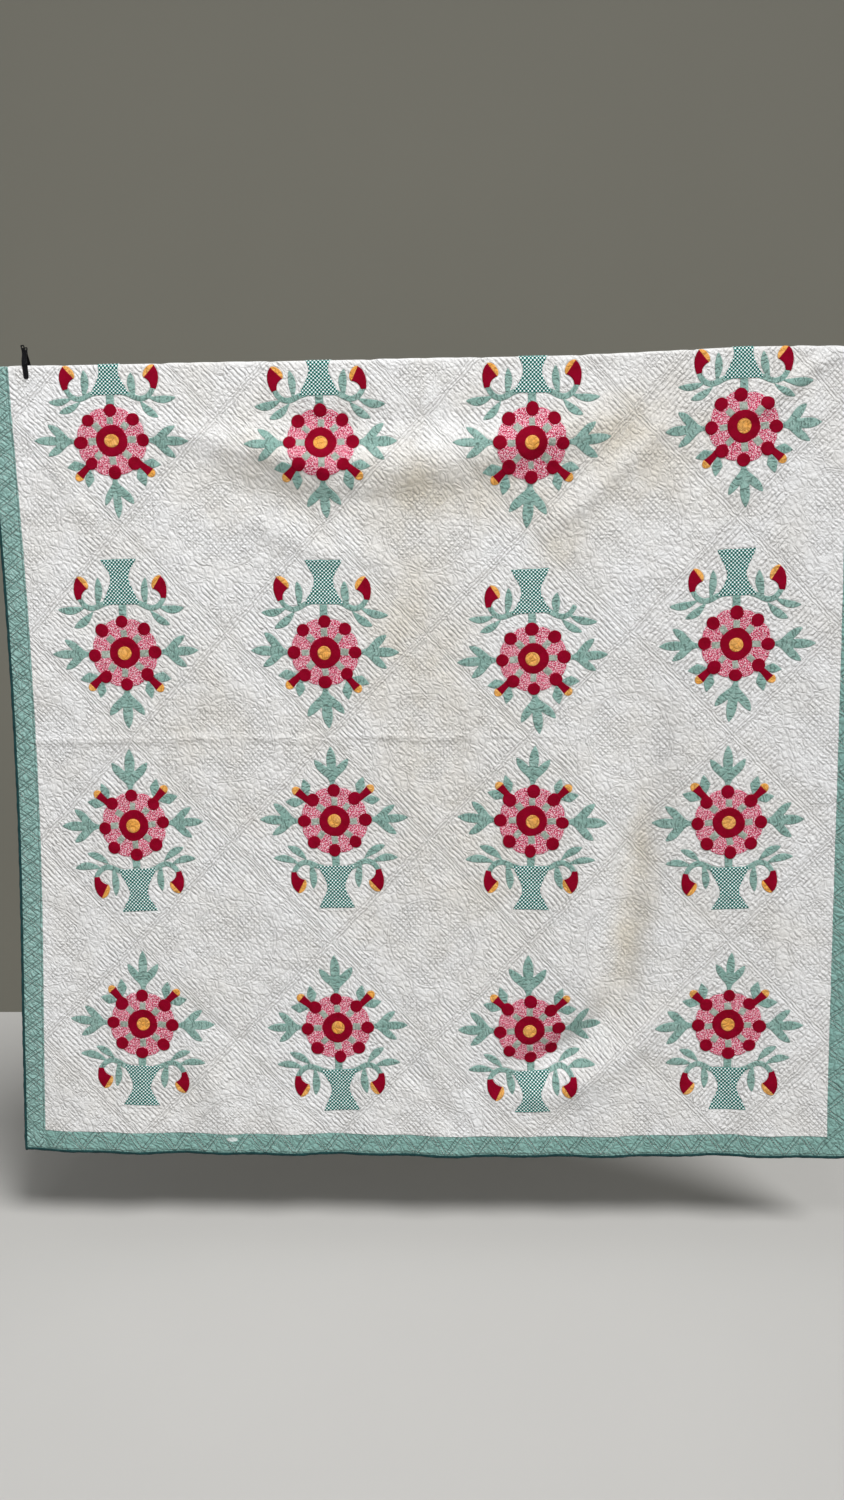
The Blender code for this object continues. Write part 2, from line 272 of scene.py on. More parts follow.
# %% Puffs of the quilted top
rng = np.random.default_rng(7)
PUCKERS = rng.random((256, 256))
WREATH_SCALE = 0.86
FEATHER_TWIST = 9.0  # how far a feather turns for each metre outward


def pucker(across, down, size, shift=0):
    """Smooth unevenness with bumps of about this size, from -1 to 1."""
    x, y = across / size + 11.3 * shift, down / size + 5.7 * shift
    ix, iy = np.floor(x).astype(int), np.floor(y).astype(int)
    fx, fy = eased(x - ix, 0, 1), eased(y - iy, 0, 1)
    c00, c10 = PUCKERS[ix % 256, iy % 256], PUCKERS[(ix + 1) % 256, iy % 256]
    c01, c11 = PUCKERS[ix % 256, (iy + 1) % 256], PUCKERS[(ix + 1) % 256, (iy + 1) % 256]
    return 2 * ((c00 * (1 - fx) + c10 * fx) * (1 - fy) + (c01 * (1 - fx) + c11 * fx) * fy) - 1


def nearest_line(value, step):
    """Distance from value to the nearest whole multiple of step."""
    return np.abs((value / step + 0.5) % 1.0 - 0.5) * step


def block_place(across, down):
    """Places counted in blocks, with a block's middle at every whole pair."""
    return across / PITCH_ACROSS, (down - MIDDLE) / PITCH_DOWN


def stored_ridge(across, down):
    """The uneven ridge where the quilt has lain folded in store, a little above its middle."""
    place = STORED + 0.004 * pucker(across, 0 * down, 0.09, 7)
    patchy = (0.4 + 0.6 * eased(pucker(across, 0 * down, 0.06, 8), -0.5, 0.4)) * (1 - eased(across, 0.00, 0.50))
    return patchy * np.exp(-(((down - place) / 0.0065) ** 2))


def puffs(across, down):
    """Height of the quilted top over its lowest lines."""
    p, q = block_place(across, down)
    rising = nearest_line((p + q - 0.5) * SEAM_STEP, SEAM_STEP)
    falling = nearest_line((p - q - 0.5) * SEAM_STEP, SEAM_STEP)
    seam = np.minimum(rising, falling)
    height = -0.0011 * np.exp(-((seam / 0.0075) ** 2))
    x, y = (p - np.rint(p)) * PITCH_ACROSS, (q - np.rint(q)) * PITCH_DOWN
    radius = np.hypot(x, y) * WREATH_SCALE
    plain = (np.abs(p - np.rint(p)) + np.abs(q - np.rint(q))) < 0.5
    turn = np.arctan2(y, x)
    feather = np.abs(np.sin(6 * turn + FEATHER_TWIST * (radius - 0.09)))
    ring = eased(radius, 0.088, 0.100) * (1 - eased(radius, 0.115 + 0.02 * feather, 0.128 + 0.02 * feather))
    height = height + np.where(plain, 0.0011 * ring * feather**0.6, 0)
    height = height + 0.0042 * stored_ridge(across, down)
    rough = 0.50 * pucker(across, down, 0.034) + 0.50 * pucker(across, down, 0.019, 1)
    rough = rough + 0.55 * pucker((across + down) * 1.2, (across - down) * 0.45, 0.019, 2)
    return height + 0.0007 * rough * eased(np.abs(down), 0.0, 0.06)


def top_surface(across, down, out=0.0):
    """Where the top hangs, puffs and all."""
    return hung(across, down, LIFT + puffs(across, down) + out)


# %% Meshes from flat grids
def placed(name, data):
    """A new object with this mesh, light or camera, in the scene."""
    made = bpy.data.objects.new(name, data)
    bpy.context.scene.collection.objects.link(made)
    return made


def new_piece(name, points, faces, uv=None, smooth=True):
    """A mesh object with its flat places kept as a UV map, in metres."""
    data = bpy.data.meshes.new(name)
    data.from_pydata(points, [], faces)
    data.update()
    if smooth:
        data.polygons.foreach_set("use_smooth", [True] * len(data.polygons))
    if uv is not None:
        layer = data.uv_layers.new(name="Flat")
        corner = np.empty(len(data.loops), int)
        data.loops.foreach_get("vertex_index", corner)
        layer.data.foreach_set("uv", np.asarray(uv, float)[corner].ravel())
    return placed(name, data)


def spread_grid(low, high, pitch):
    count = max(1, round((high - low) / pitch))
    return np.linspace(low, high, count + 1)


def cloth_grid(name, across, down, surface, front=True):
    """A cloth surface over a grid of flat places, facing the viewer or away."""
    u, v = np.meshgrid(across, down, indexing="ij")
    points = surface(u, v).reshape(-1, 3)
    rows, columns = len(across), len(down)
    index = np.arange(rows * columns).reshape(rows, columns)
    corners = [index[:-1, :-1], index[:-1, 1:], index[1:, 1:], index[1:, :-1]]
    faces = np.stack(corners, -1).reshape(-1, 4)
    if not front:
        faces = faces[:, ::-1]
    piece = new_piece(name, points.tolist(), faces.tolist(), np.stack([u, v], -1).reshape(-1, 2))
    print(name, len(faces) * 2, "triangles")
    return piece


def number_at_points(piece, name, values):
    piece.data.attributes.new(name, "FLOAT", "POINT").data.foreach_set("value", np.asarray(values, float).ravel())


def fold_rows(low, high, pitch):
    """Grid rows from the drop behind, closer together round the fold, and on down the front."""
    turn = FOLD_RADIUS * math.pi / 2
    arc = np.linspace(-turn, turn, 13)
    behind = spread_grid(low, -turn, pitch)[:-1]
    return np.concatenate([behind, arc, spread_grid(turn, high, pitch)[1:]])


# %% [markdown]
# ## The quilt top, its border and its back
#
# The white top and the four aqua strips meet in seams, so they share their edge lines. The back is one plain sheet
# as large as the whole quilt, and the binding closes top, wadding and back together round the edge.

# %% Cloth sheets
field_columns = spread_grid(-HALF_WIDTH, HALF_WIDTH, GRID)
field_rows = fold_rows(TOP, BOTTOM, GRID)
quilt_top = cloth_grid("quilt_top", field_columns, field_rows, top_surface)

OUTER_X = HALF_WIDTH + BORDER
OUTER_TOP = TOP - BORDER
OUTER_BOTTOM = BOTTOM + BORDER


def border_puffs(across, down):
    """The border swells between its zigzag lines and dips at its seam and at its binding."""
    side = np.abs(across) - HALF_WIDTH
    end = np.maximum(down - BOTTOM, TOP - down)
    inward = np.maximum(side, end)
    along = np.where(side > end, down, across)
    zigzag = 2 * np.abs((along / (2 * ZIGZAG)) % 1.0 - 0.5) * BORDER
    height = -0.0010 * np.exp(-((inward / 0.004) ** 2)) - 0.0008 * np.exp(-(((BORDER - inward) / 0.004) ** 2))
    height = height - 0.0008 * np.exp(-(((inward - zigzag) / 0.005) ** 2))
    rough = 0.6 * pucker(across, down, 0.018, 3) + 0.5 * pucker(across, down, 0.009, 4)
    return height + 0.0006 * rough * eased(np.abs(down), 0.0, 0.06)


def border_surface(across, down):
    return hung(across, down, LIFT + border_puffs(across, down))


BORDER_GRID = GRID * 0.62
full_rows = fold_rows(OUTER_TOP, OUTER_BOTTOM, BORDER_GRID)
full_columns = spread_grid(-HALF_WIDTH, HALF_WIDTH, BORDER_GRID)
STRIPS = {
    "border_left_cloth": (spread_grid(-OUTER_X, -HALF_WIDTH, BORDER_GRID), full_rows),
    "border_right_cloth": (spread_grid(HALF_WIDTH, OUTER_X, BORDER_GRID), full_rows),
    "border_bottom_cloth": (full_columns, spread_grid(BOTTOM, OUTER_BOTTOM, BORDER_GRID)),
    "border_top_cloth": (full_columns, spread_grid(OUTER_TOP, TOP, BORDER_GRID)),
}
borders = [cloth_grid(name, columns, rows, border_surface) for name, (columns, rows) in STRIPS.items()]


def back_surface(across, down):
    """The plain back, on the other side of the wadding."""
    return hung(across, down, -LIFT - 0.35 * puffs(across, down) + 0.0002)


BACK_GRID = GRID * 1.7
back_columns = spread_grid(-OUTER_X, OUTER_X, BACK_GRID)
back = cloth_grid("quilt_back", back_columns, fold_rows(OUTER_TOP, OUTER_BOTTOM, BACK_GRID), back_surface, front=False)

# %% [markdown]
# ## The binding
#
# A folded strip of dark cloth is sewn to the front edge, turned over it and hemmed down behind. Its section is
# close to half a round, and it runs straight past each corner.

# %% Binding strips
SECTION = [(0.0075 * math.sin(a), 0.0031 * math.cos(a)) for a in np.linspace(0, math.pi, 9)]
SECTION += [(0.0002, -0.0016), (0.0002, 0.0016)]


def bound_edge(name, start, along, step):
    """Sweeps the section along one edge. Start and step are flat places, along gives distance down the edge."""
    outward = np.array(step, float)
    points, flat, faces = [], [], []
    ring = len(SECTION)
    for k, place in enumerate(along):
        for reach, out in SECTION:
            wobble = 0.00035 * math.sin(place * 97 + 1.3) + 0.00025 * math.sin(place * 231)
            spot = np.array(start(place)) + outward * (reach + wobble * (reach > 0.001))
            points.append(hung(spot[0], spot[1], out * (1 + 0.06 * math.sin(place * 173))))
            flat.append((place, reach + 0.5 * out))
        if k:
            low, high = (k - 1) * ring, k * ring
            faces += [(low + j, low + (j + 1) % ring, high + (j + 1) % ring, high + j) for j in range(ring)]
    last = (len(along) - 1) * ring
    faces += [tuple(range(ring))[::-1], tuple(last + j for j in range(ring))]
    piece = new_piece(name, [list(map(float, p)) for p in points], faces, flat)
    data = piece.data
    volume = sum(p.area * p.normal.dot(p.center - data.vertices[0].co) for p in data.polygons)
    if volume < 0:
        data.flip_normals()
    return piece


edge_in = OUTER_X - 0.0015
edge_rows = fold_rows(OUTER_TOP - BINDING, OUTER_BOTTOM + BINDING, 0.006)
edge_columns = spread_grid(-edge_in, edge_in, 0.006)
bindings = [
    bound_edge("binding_left_strip", lambda s: (-edge_in, s), edge_rows, (-1, 0)),
    bound_edge("binding_right_strip", lambda s: (edge_in, s), edge_rows, (1, 0)),
    bound_edge("binding_bottom_strip", lambda s: (s, OUTER_BOTTOM - 0.0015), edge_columns, (0, 1)),
    bound_edge("binding_top_strip", lambda s: (s, OUTER_TOP + 0.0015), edge_columns, (0, -1)),
]
print("binding triangles", sum(len(b.data.polygons) * 2 for b in bindings))

# %% [markdown]
# ## Patterns for the applique
#
# One motif, drafted with its flower at the origin and its vase below. A maker cuts each patch from a paper pattern,
# so each is one outline here, drawn from its own few sizes. The right half of the motif is turned over for the left.

# %% Outline tools
def resampled(outline, step):
    """The closed outline with points a step apart."""
    loop = np.vstack([outline, outline[:1]])
    length = np.hypot(*np.diff(loop, axis=0).T)
    total = np.concatenate([[0], np.cumsum(length)])
    count = max(8, round(total[-1] / step))
    place = np.linspace(0, total[-1], count, endpoint=False)
    return np.stack([np.interp(place, total, loop[:, k]) for k in (0, 1)], -1)


def rounded(points, count=8):
    """A closed smooth outline through these points."""
    fixed = np.array(points, float)
    whole = np.vstack([fixed[-1], fixed, fixed[:2]])
    out = []
    for k in range(len(fixed)):
        out += [bent(*whole[k : k + 4], part) for part in np.linspace(0, 1, count, endpoint=False)]
    return np.array(out)


def round_outline(radius, count):
    """A closed outline about the origin, from its radius: one number, or a rule for each turn."""
    turn = np.linspace(0, 2 * math.pi, count, endpoint=False)
    reach = radius(turn) if callable(radius) else radius
    return np.stack([reach * np.cos(turn), reach * np.sin(turn)], -1)


def leaf(start, end, width, bend=0.0, widest=0.55, full=0.8):
    """A leaf from its stalk end to its point, bent to one side."""
    start, end = np.array(start, float), np.array(end, float)
    run = end - start
    side = np.array([-run[1], run[0]]) / np.hypot(*run)
    s = np.linspace(0.0, 1.0, 17)
    half = width / 2 * np.maximum(np.sin(math.pi * s ** (math.log(0.5) / math.log(widest))), 0) ** full
    middle = start + run * s[:, None] + side * (bend * 4 * s * (1 - s))[:, None]
    one = middle + side * half[:, None]
    other = middle - side * half[:, None]
    return np.vstack([one, other[1:-1][::-1]])


def ribbon(points, widths):
    """A strip of changing width along a smooth line."""
    line = smooth_line(points, 26)
    run = np.gradient(line, axis=0)
    side = np.stack([-run[:, 1], run[:, 0]], -1) / np.hypot(*run.T)[:, None]
    half = np.interp(np.linspace(0, 1, 26), np.linspace(0, 1, len(widths)), widths)[:, None] / 2
    return np.vstack([line + side * half, (line - side * half)[::-1]])


def mirrored(half):
    """A whole outline from its right half, which runs from the base to the tip."""
    half = np.array(half, float)
    left = half[::-1] * (-1, 1)
    keep = left[np.abs(left[:, 0]) > 1e-6]
    return np.vstack([half, keep])


def turned(outline, degrees, about=(0, 0)):
    turn = math.radians(degrees)
    c, s = math.cos(turn), math.sin(turn)
    return (np.asarray(outline) - about) @ np.array([[c, s], [-s, c]]) + about


# %% Outlines of one motif
SPRAY = mirrored(
    [
        *((0.0050, 0.0780), (0.0055, 0.0900), (0.0100, 0.1010), (0.0180, 0.1090), (0.0265, 0.1170)),
        *((0.0340, 0.1250), (0.0395, 0.1350), (0.0415, 0.1430), (0.0412, 0.1505), (0.0330, 0.1478)),
        *((0.0240, 0.1420), (0.0165, 0.1355), (0.0112, 0.1315), (0.0118, 0.1410), (0.0117, 0.1520)),
        *((0.0103, 0.1615), (0.0078, 0.1700), (0.0042, 0.1770), (0.0000, 0.1830)),
    ]
)
VASE_SIDE = (
    *((0.0465, -0.1080), (0.0405, -0.1195), (0.0340, -0.1305), (0.0285, -0.1410), (0.0242, -0.1510)),
    *((0.0220, -0.1610), (0.0232, -0.1715), (0.0275, -0.1815), (0.0330, -0.1910), (0.0390, -0.2015)),
    (0.0440, -0.2115),
)
SQUARE = np.array([(0.0372, -0.0080), (0.0560, -0.0076), (0.0560, 0.0080), (0.0372, 0.0076)])
STALK = np.array([(-0.0094, -0.0780), (0.0094, -0.0780), (0.0090, -0.1125), (-0.0090, -0.1125)])
DOT_RADIUS = 0.0155
DOT_PLACE = 0.0729


def lobed(turn):
    """The calico ring has eight lobes that swell between the dots."""
    return 0.0725 + 0.0088 * np.abs(np.sin(4 * turn)) ** 0.7


def squarish(turn):
    """The red disc, which a hand cuts a little squarish."""
    return 0.0368 + 0.0008 * np.cos(4 * turn + 0.6)


def bud_stem():
    """The crimson stalk of a bud, a little wider towards its end."""
    half = [(0.0700, 0.0078), (0.0800, 0.0078), (0.0920, 0.0081), (0.1030, 0.0090), (0.1140, 0.0106)]
    return np.array(half + [(reach, -wide) for reach, wide in half[::-1]])


def bud_end():
    """The yellow half-round at the end of that stalk."""
    turn = np.linspace(-math.pi / 2, math.pi / 2, 13)
    return np.stack([0.1128 + 0.0140 * np.cos(turn), 0.0109 * np.sin(turn)], -1)


def bowed(corners, bow):
    """A closed outline with pointed corners, whose sides swell outward by the bow."""
    corners = np.array(corners, float)
    middle = corners.mean(0)
    out = []
    for a, b in zip(corners, np.roll(corners, -1, 0), strict=True):
        side = np.array([-(b - a)[1], (b - a)[0]]) / np.hypot(*(b - a))
        side *= np.sign(side @ ((a + b) / 2 - middle))
        for t in np.linspace(0, 1, 6, endpoint=False):
            out.append(a + (b - a) * t + side * bow * 4 * t * (1 - t))
    return np.array(out)


def kite(side):
    """The small four-cornered leaf beside a bud."""
    corners = np.array([(0.0850, 0.0070), (0.1110, 0.0115), (0.1225, 0.0325), (0.0965, 0.0305)])
    return bowed(corners * (1, side), 0.0013)


# The crimson part of a hanging bud, from its base round by the outer side, and the two ends of its yellow cap.
HANGING_BUD = (
    *((0.0965, -0.1215), (0.1085, -0.1200), (0.1108, -0.1270), (0.1128, -0.1370), (0.1135, -0.1470)),
    *((0.1115, -0.1590), (0.1070, -0.1680), (0.1010, -0.1745), (0.0900, -0.1595), (0.0790, -0.1450)),
    *((0.0850, -0.1420), (0.0905, -0.1375), (0.0945, -0.1315)),
)
CAP_ENDS = ((0.1016, -0.1748), (0.0786, -0.1446))


def hanging_cap():
    """The yellow end, which swells past the crimson."""
    first, last = np.array(CAP_ENDS)
    half = (last - first) / 2
    out = np.array([-half[1], half[0]]) / np.hypot(*half)
    out = out * np.sign(out @ (first + last))  # away from the flower
    turn = np.linspace(0, math.pi, 15)[:, None]
    return (first + last) / 2 + half * -np.cos(turn) + out * (-0.0015 + 0.0122 * np.sin(turn))


# %% [markdown]
# ## Laying the patches
#
# Each patch is turned under at its edge, so it swells up from the ground over about a millimetre and a half and is
# flat across its middle. Patches sewn later lie on the earlier ones. No two motifs are quite alike: each is
# turned, shifted and stretched a little, and every patch again within it.

# %% Patch meshes
PATCH_STEP = 0.0042
EDGE_STEP = 0.0024


class Shape(NamedTuple):
    """A patch lying flat: its points, their heights, how far each lies along the patch, its triangles and its edge."""

    flat: np.ndarray
    height: np.ndarray
    along: np.ndarray
    faces: np.ndarray
    edge: np.ndarray

    def moved(self, move):
        return self._replace(flat=move(self.flat), edge=move(self.edge))

    def turned_over(self):
        return self._replace(flat=self.flat * (-1, 1), faces=self.faces[:, ::-1], edge=self.edge * (-1, 1))


def away_from(points, edge):
    """Distance of each point to the nearest point of the edge."""
    return np.sqrt(((points[:, None] - edge[None]) ** 2).sum(-1)).min(1)


def cut_patch(outline, thickness, foot=(0.0, 0.0)):
    """One turned-under patch. Its stalk end is at the foot, from where the distance along it is measured."""
    edge = resampled(outline, EDGE_STEP)
    ahead = np.roll(edge, -1, 0)
    if np.sum(edge[:, 0] * ahead[:, 1] - edge[:, 1] * ahead[:, 0]) < 0:
        edge = edge[::-1]
    run = np.roll(edge, -1, 0) - np.roll(edge, 1, 0)
    inward = np.stack([-run[:, 1], run[:, 0]], -1) / np.hypot(*run.T)[:, None]
    low, high = edge.min(0), edge.max(0)
    x, y = np.meshgrid(np.arange(low[0], high[0], PATCH_STEP), np.arange(low[1], high[1], PATCH_STEP * 0.87))
    x = x + PATCH_STEP / 2 * (np.arange(len(x)) % 2)[:, None]
    inside = np.stack([x.ravel(), y.ravel()], -1)
    kept = [edge]
    for points, clear in ((edge + inward * 0.0005, 0.00045), (edge + inward * 0.0016, 0.0014), (inside, 0.0027)):
        kept.append(points[away_from(points, edge) > clear])
    count = len(edge)
    loop = [(k, (k + 1) % count) for k in range(count)]
    found, _, faces, *_ = delaunay_2d_cdt([tuple(point) for point in np.vstack(kept)], loop, [], 1, 1e-6)
    flat = np.array([tuple(point) for point in found])
    swell = np.sqrt(np.clip(1 - (1 - np.clip(away_from(flat, edge) / 0.0017, 0, 1)) ** 2, 0, 1))
    faces = np.array([list(face) for face in faces])
    a, b, c = (flat[faces[:, k]] for k in range(3))
    cross = (b[:, 0] - a[:, 0]) * (c[:, 1] - a[:, 1]) - (b[:, 1] - a[:, 1]) * (c[:, 0] - a[:, 0])
    faces = np.where((cross < 0)[:, None], faces[:, ::-1], faces)
    return Shape(flat, swell * thickness, np.hypot(*(flat - foot).T), faces, edge)


class Patches:
    """All patches cut from one cloth, gathered into one piece."""

    def __init__(self, name, base):
        self.name = name
        self.base = base
        self.points = []
        self.flat = []
        self.faces = []
        self.tone = []
        self.along = []
        self.count = 0

    def add(self, shape, place):
        across, down = place(shape.flat)
        out = self.base + shape.height - 0.0004 * (shape.height <= 0)
        self.points.append(top_surface(across, down, out))
        self.flat.append(shape.flat + rng.uniform(-0.4, 0.4, 2))
        self.faces.append(shape.faces + self.count)
        self.tone.append(np.full(len(across), rng.random()))
        self.along.append(shape.along + rng.uniform(0, 1))
        self.count += len(across)
        return np.stack(place(shape.edge), -1)

    def build(self):
        faces = np.vstack(self.faces)
        piece = new_piece(self.name, np.vstack(self.points).tolist(), faces.tolist(), np.vstack(self.flat))
        number_at_points(piece, "tone", np.concatenate(self.tone))
        number_at_points(piece, "along", np.concatenate(self.along))
        print(self.name, len(faces), "triangles")
        return piece


# How far each kind lies over the ground: the later patches are sewn on top of the earlier ones.
GROUPS = {
    "branches": Patches("branches", 0.0002),
    "leaves": Patches("leaves", 0.0002),
    "sprays": Patches("leaf_sprays", 0.0002),
    "stalks": Patches("vase_stalks", 0.0002),
    "vases": Patches("vases", 0.0004),
    "stems": Patches("bud_stems", 0.0004),
    "buds": Patches("hanging_buds", 0.0005),
    "ends": Patches("bud_ends", 0.0004),
    "rosettes": Patches("calico_rosettes", 0.0006),
    "dots": Patches("crimson_dots", 0.0013),
    "squares": Patches("small_squares", 0.0014),
    "discs": Patches("crimson_discs", 0.0014),
    "centres": Patches("yellow_centres", 0.0023),
}

# The side branch, its three leaves and its bud, drawn for the right side.
MOUTH = (0.0430, -0.1090)
BRANCH = (
    *((0.0300, -0.1140), (0.0450, -0.1095), (0.0590, -0.1025), (0.0735, -0.0990)),
    *((0.0870, -0.1035), (0.0965, -0.1130), (0.1025, -0.1245)),
)
BRANCH_WIDTHS = (0.0122, 0.0126, 0.0130, 0.0132, 0.0128, 0.0122, 0.0114)
SIDE_LEAVES = (
    ((0.0690, -0.0945), (0.1185, -0.0600), 0.0182, 0.0045),
    ((0.0860, -0.1035), (0.1530, -0.0925), 0.0182, 0.0060),
    ((0.0615, -0.0990), (0.0560, -0.1660), 0.0180, -0.0035),
)
BUD_BASE = (0.1025, -0.1215)

SPRAY_FOOT = (0.0, 0.086)
shapes = {
    "vase": cut_patch(np.vstack([VASE_SIDE, np.array(VASE_SIDE)[::-1] * (-1, 1)]), 0.0010),
    "stalk": cut_patch(STALK, 0.0008, (0, -0.112)),
    "rosette": cut_patch(round_outline(lobed, 120), 0.0009),
    "disc": cut_patch(round_outline(squarish, 60), 0.0010),
    "centre": cut_patch(round_outline(0.0161, 40), 0.0009),
    "dot": cut_patch(round_outline(DOT_RADIUS, 36), 0.0011),
    "spray": cut_patch(rounded(SPRAY, 4), 0.0009, SPRAY_FOOT),
    "branch": cut_patch(ribbon(BRANCH, BRANCH_WIDTHS), 0.0008, BRANCH[0]),
    "stem": cut_patch(bud_stem(), 0.0009),
    "end": cut_patch(bud_end(), 0.0009),
    "kite_above": cut_patch(kite(1), 0.0009, (0.083, 0.006)),
    "kite_below": cut_patch(kite(-1), 0.0009, (0.083, -0.006)),
    "square": cut_patch(SQUARE, 0.0006),
    "bud": cut_patch(np.array(HANGING_BUD), 0.0011, BUD_BASE),
    "cap": cut_patch(hanging_cap(), 0.0009, BUD_BASE),
}
for number, (stalk_end, point, width, bend) in enumerate(SIDE_LEAVES):
    shapes[f"leaf{number}"] = cut_patch(leaf(stalk_end, point, width, bend, 0.58, 0.75), 0.0009, stalk_end)
print("patterns", {name: len(shape.faces) for name, shape in shapes.items()})


# %% Sixteen motifs
def varied(shape, about=(0.0, 0.0), turn=3.0, shift=0.0012, stretch=0.03):
    """A copy cut and placed by hand: slightly turned, moved and stretched about its own foot."""
    angle = rng.normal(0, turn / 2)
    move = rng.normal(0, shift / 2, 2)
    size = 1 + rng.normal(0, stretch / 2, 2)
    return shape.moved(lambda points: turned((points - about) * size, angle) + about + move)


def at_angle(shape, angle, reach=0.0):
    """The shape pushed out from the flower's middle, then turned about it."""
    return shape.moved(lambda points: turned(points + (reach, 0), angle))


def uneven(shape, amount=0.16):
    """The lobes on the two sides of a spray opened by different amounts."""
    right, left = 1 + rng.normal(-0.02, amount / 2, 2)
    return shape.moved(lambda points: points * np.where(points[:, :1] > 0, (right, 1), (left, 1)))


FLOWER_SHIFT = 0.0463

# How far each flower was sewn from its place, across and down in millimetres, row by row.
NUDGES = (
    ((-8, 2), (-1, 9), (2, 11), (7, 1)),
    ((-9, -7), (-5, -6), (9, 8), (0, -13)),
    ((-4, 1), (10, -8), (6, -5), (-9, 1)),
    ((8, -3), (9, 5), (0, 2), (0, 4)),
)
MISSING_BUD = (1, 2, -1)  # row, column and side of the one motif that has lost a bud
outlines = []


def sew_side(sew, side, with_bud, drop):
    """A branch with its three leaves and its hanging bud. Side is 1 on the right of the pattern."""
    pick = {name: shape if side == 1 else shape.turned_over() for name, shape in shapes.items()}
    swing = rng.normal(0, 2.2)
    mouth = np.array(MOUTH) * (side, 1)

    def swung(shape):
        return shape.moved(lambda points: turned(points, swing, mouth) + (0, drop))

    sew("branches", swung(varied(pick["branch"], mouth, 2)))
    for number, (stalk_end, *_) in enumerate(SIDE_LEAVES):
        foot = np.array(stalk_end) * (side, 1)
        sew("leaves", swung(varied(pick[f"leaf{number}"], foot, 10, 0.002, 0.09)))
    if with_bud:
        foot = np.array(BUD_BASE) * (side, 1)
        turn = rng.normal(0, 6)
        grow = 1 + rng.normal(0, 0.025)
        for part, group in (("bud", "buds"), ("cap", "ends")):
            sew(group, swung(pick[part].moved(lambda points: turned((points - foot) * grow, turn) + foot)))


def sew_motif(sew, missing_side):
    """One whole motif, from the patches that lie lowest to those on top."""
    drop = rng.normal(0, 0.002)
    waist = rng.normal(0, 0.005)
    sew("stalks", varied(shapes["stalk"], (0, -0.10), 2))
    for side in (1, -1):
        sew_side(sew, side, side != missing_side, drop)

    def waisted(points):
        """The vase's narrowest place moved up or down."""
        part = np.clip((points[:, 1] + 0.2115) / 0.1035, 0, 1)
        return points + np.stack([0 * part, drop + waist * 4 * part * (1 - part)], -1)

    sew("vases", varied(shapes["vase"].moved(waisted), (0, -0.11), 1.5, 0.001, 0.03))
    for angle, length in ((0, 1.0), (90, 0.95), (-90, 0.95)):
        spray = varied(uneven(shapes["spray"]), SPRAY_FOOT, 5, 0.002, 0.06)
        spray = spray.moved(lambda points: (points - SPRAY_FOOT) * length + SPRAY_FOOT)
        sew("sprays", at_angle(spray, angle))
    for angle in (45, 135):
        lean = angle + rng.normal(0, 2.5)
        sew("leaves", at_angle(varied(shapes["kite_above"], (0.09, 0), 7, 0.0015, 0.10), lean))
        sew("leaves", at_angle(varied(shapes["kite_below"], (0.09, 0), 7, 0.0015, 0.10), lean))
        sew("stems", at_angle(varied(shapes["stem"], (0.09, 0), 2, 0.0005, 0.04), lean))
        sew("ends", at_angle(varied(shapes["end"], (0.09, 0), 2, 0.0005, 0.04), lean))
    sew("rosettes", varied(shapes["rosette"], (0, 0), 6, 0.001, 0.02))
    for k in range(8):
        sew("squares", at_angle(varied(shapes["square"], (0.0457, 0), 9, 0.0014, 0.14), 45 * k + rng.normal(0, 1.5)))
        reach = DOT_PLACE * (1 + rng.normal(0, 0.012))
        sew("dots", at_angle(varied(shapes["dot"], (0, 0), 0, 0.001, 0.08), 45 * k + rng.normal(0, 1.5), reach))
    sew("discs", varied(shapes["disc"], (0, 0), 20, 0.0015, 0.03))
    sew("centres", varied(shapes["centre"], (0, 0), 20, 0.002, 0.06))


for row in range(4):
    for column in range(4):
        upright = row >= 2
        shift = -FLOWER_SHIFT if upright else FLOWER_SHIFT
        middle = np.array([(column - 1.5) * PITCH_ACROSS, MIDDLE + (row - 1.5) * PITCH_DOWN + shift])
        middle = middle + np.array(NUDGES[row][column]) / 1000
        tilt = (0 if upright else 180) + rng.normal(0, 1.3)

        def place(points, middle=middle, tilt=tilt):
            """From the pattern, with up away from the vase, to flat places on the quilt."""
            x, y = turned(points, tilt).T
            return middle[0] + x, middle[1] - y

        def sew(group, shape, place=place):
            outlines.append(GROUPS[group].add(shape, place))

        sew_motif(sew, MISSING_BUD[2] if (row, column) == MISSING_BUD[:2] else 0)

applique = {name: group.build() for name, group in GROUPS.items()}
print("applique triangles", sum(len(p.data.polygons) for p in applique.values()), "patches", len(outlines))

# %% [markdown]
# ## Distance to the applique
#
# The ground is stitched close round every patch and puffs up just outside it. Each point of the top keeps its
# distance to the nearest outline, and its age: where a washed quilt has yellowed along old folds.

# %% Numbers kept on the top
def inside_outline(x, y, outline):
    """Whether each place lies inside the outline, by counting the edges to its right."""
    x0, y0 = outline.T
    x1, y1 = np.roll(outline, -1, 0).T
    between = (y0 > y[:, None]) != (y1 > y[:, None])
    crossing = x0 + (y[:, None] - y0) / np.where(y1 == y0, 1, y1 - y0) * (x1 - x0)
    return (between & (x[:, None] < crossing)).sum(1) % 2 == 1


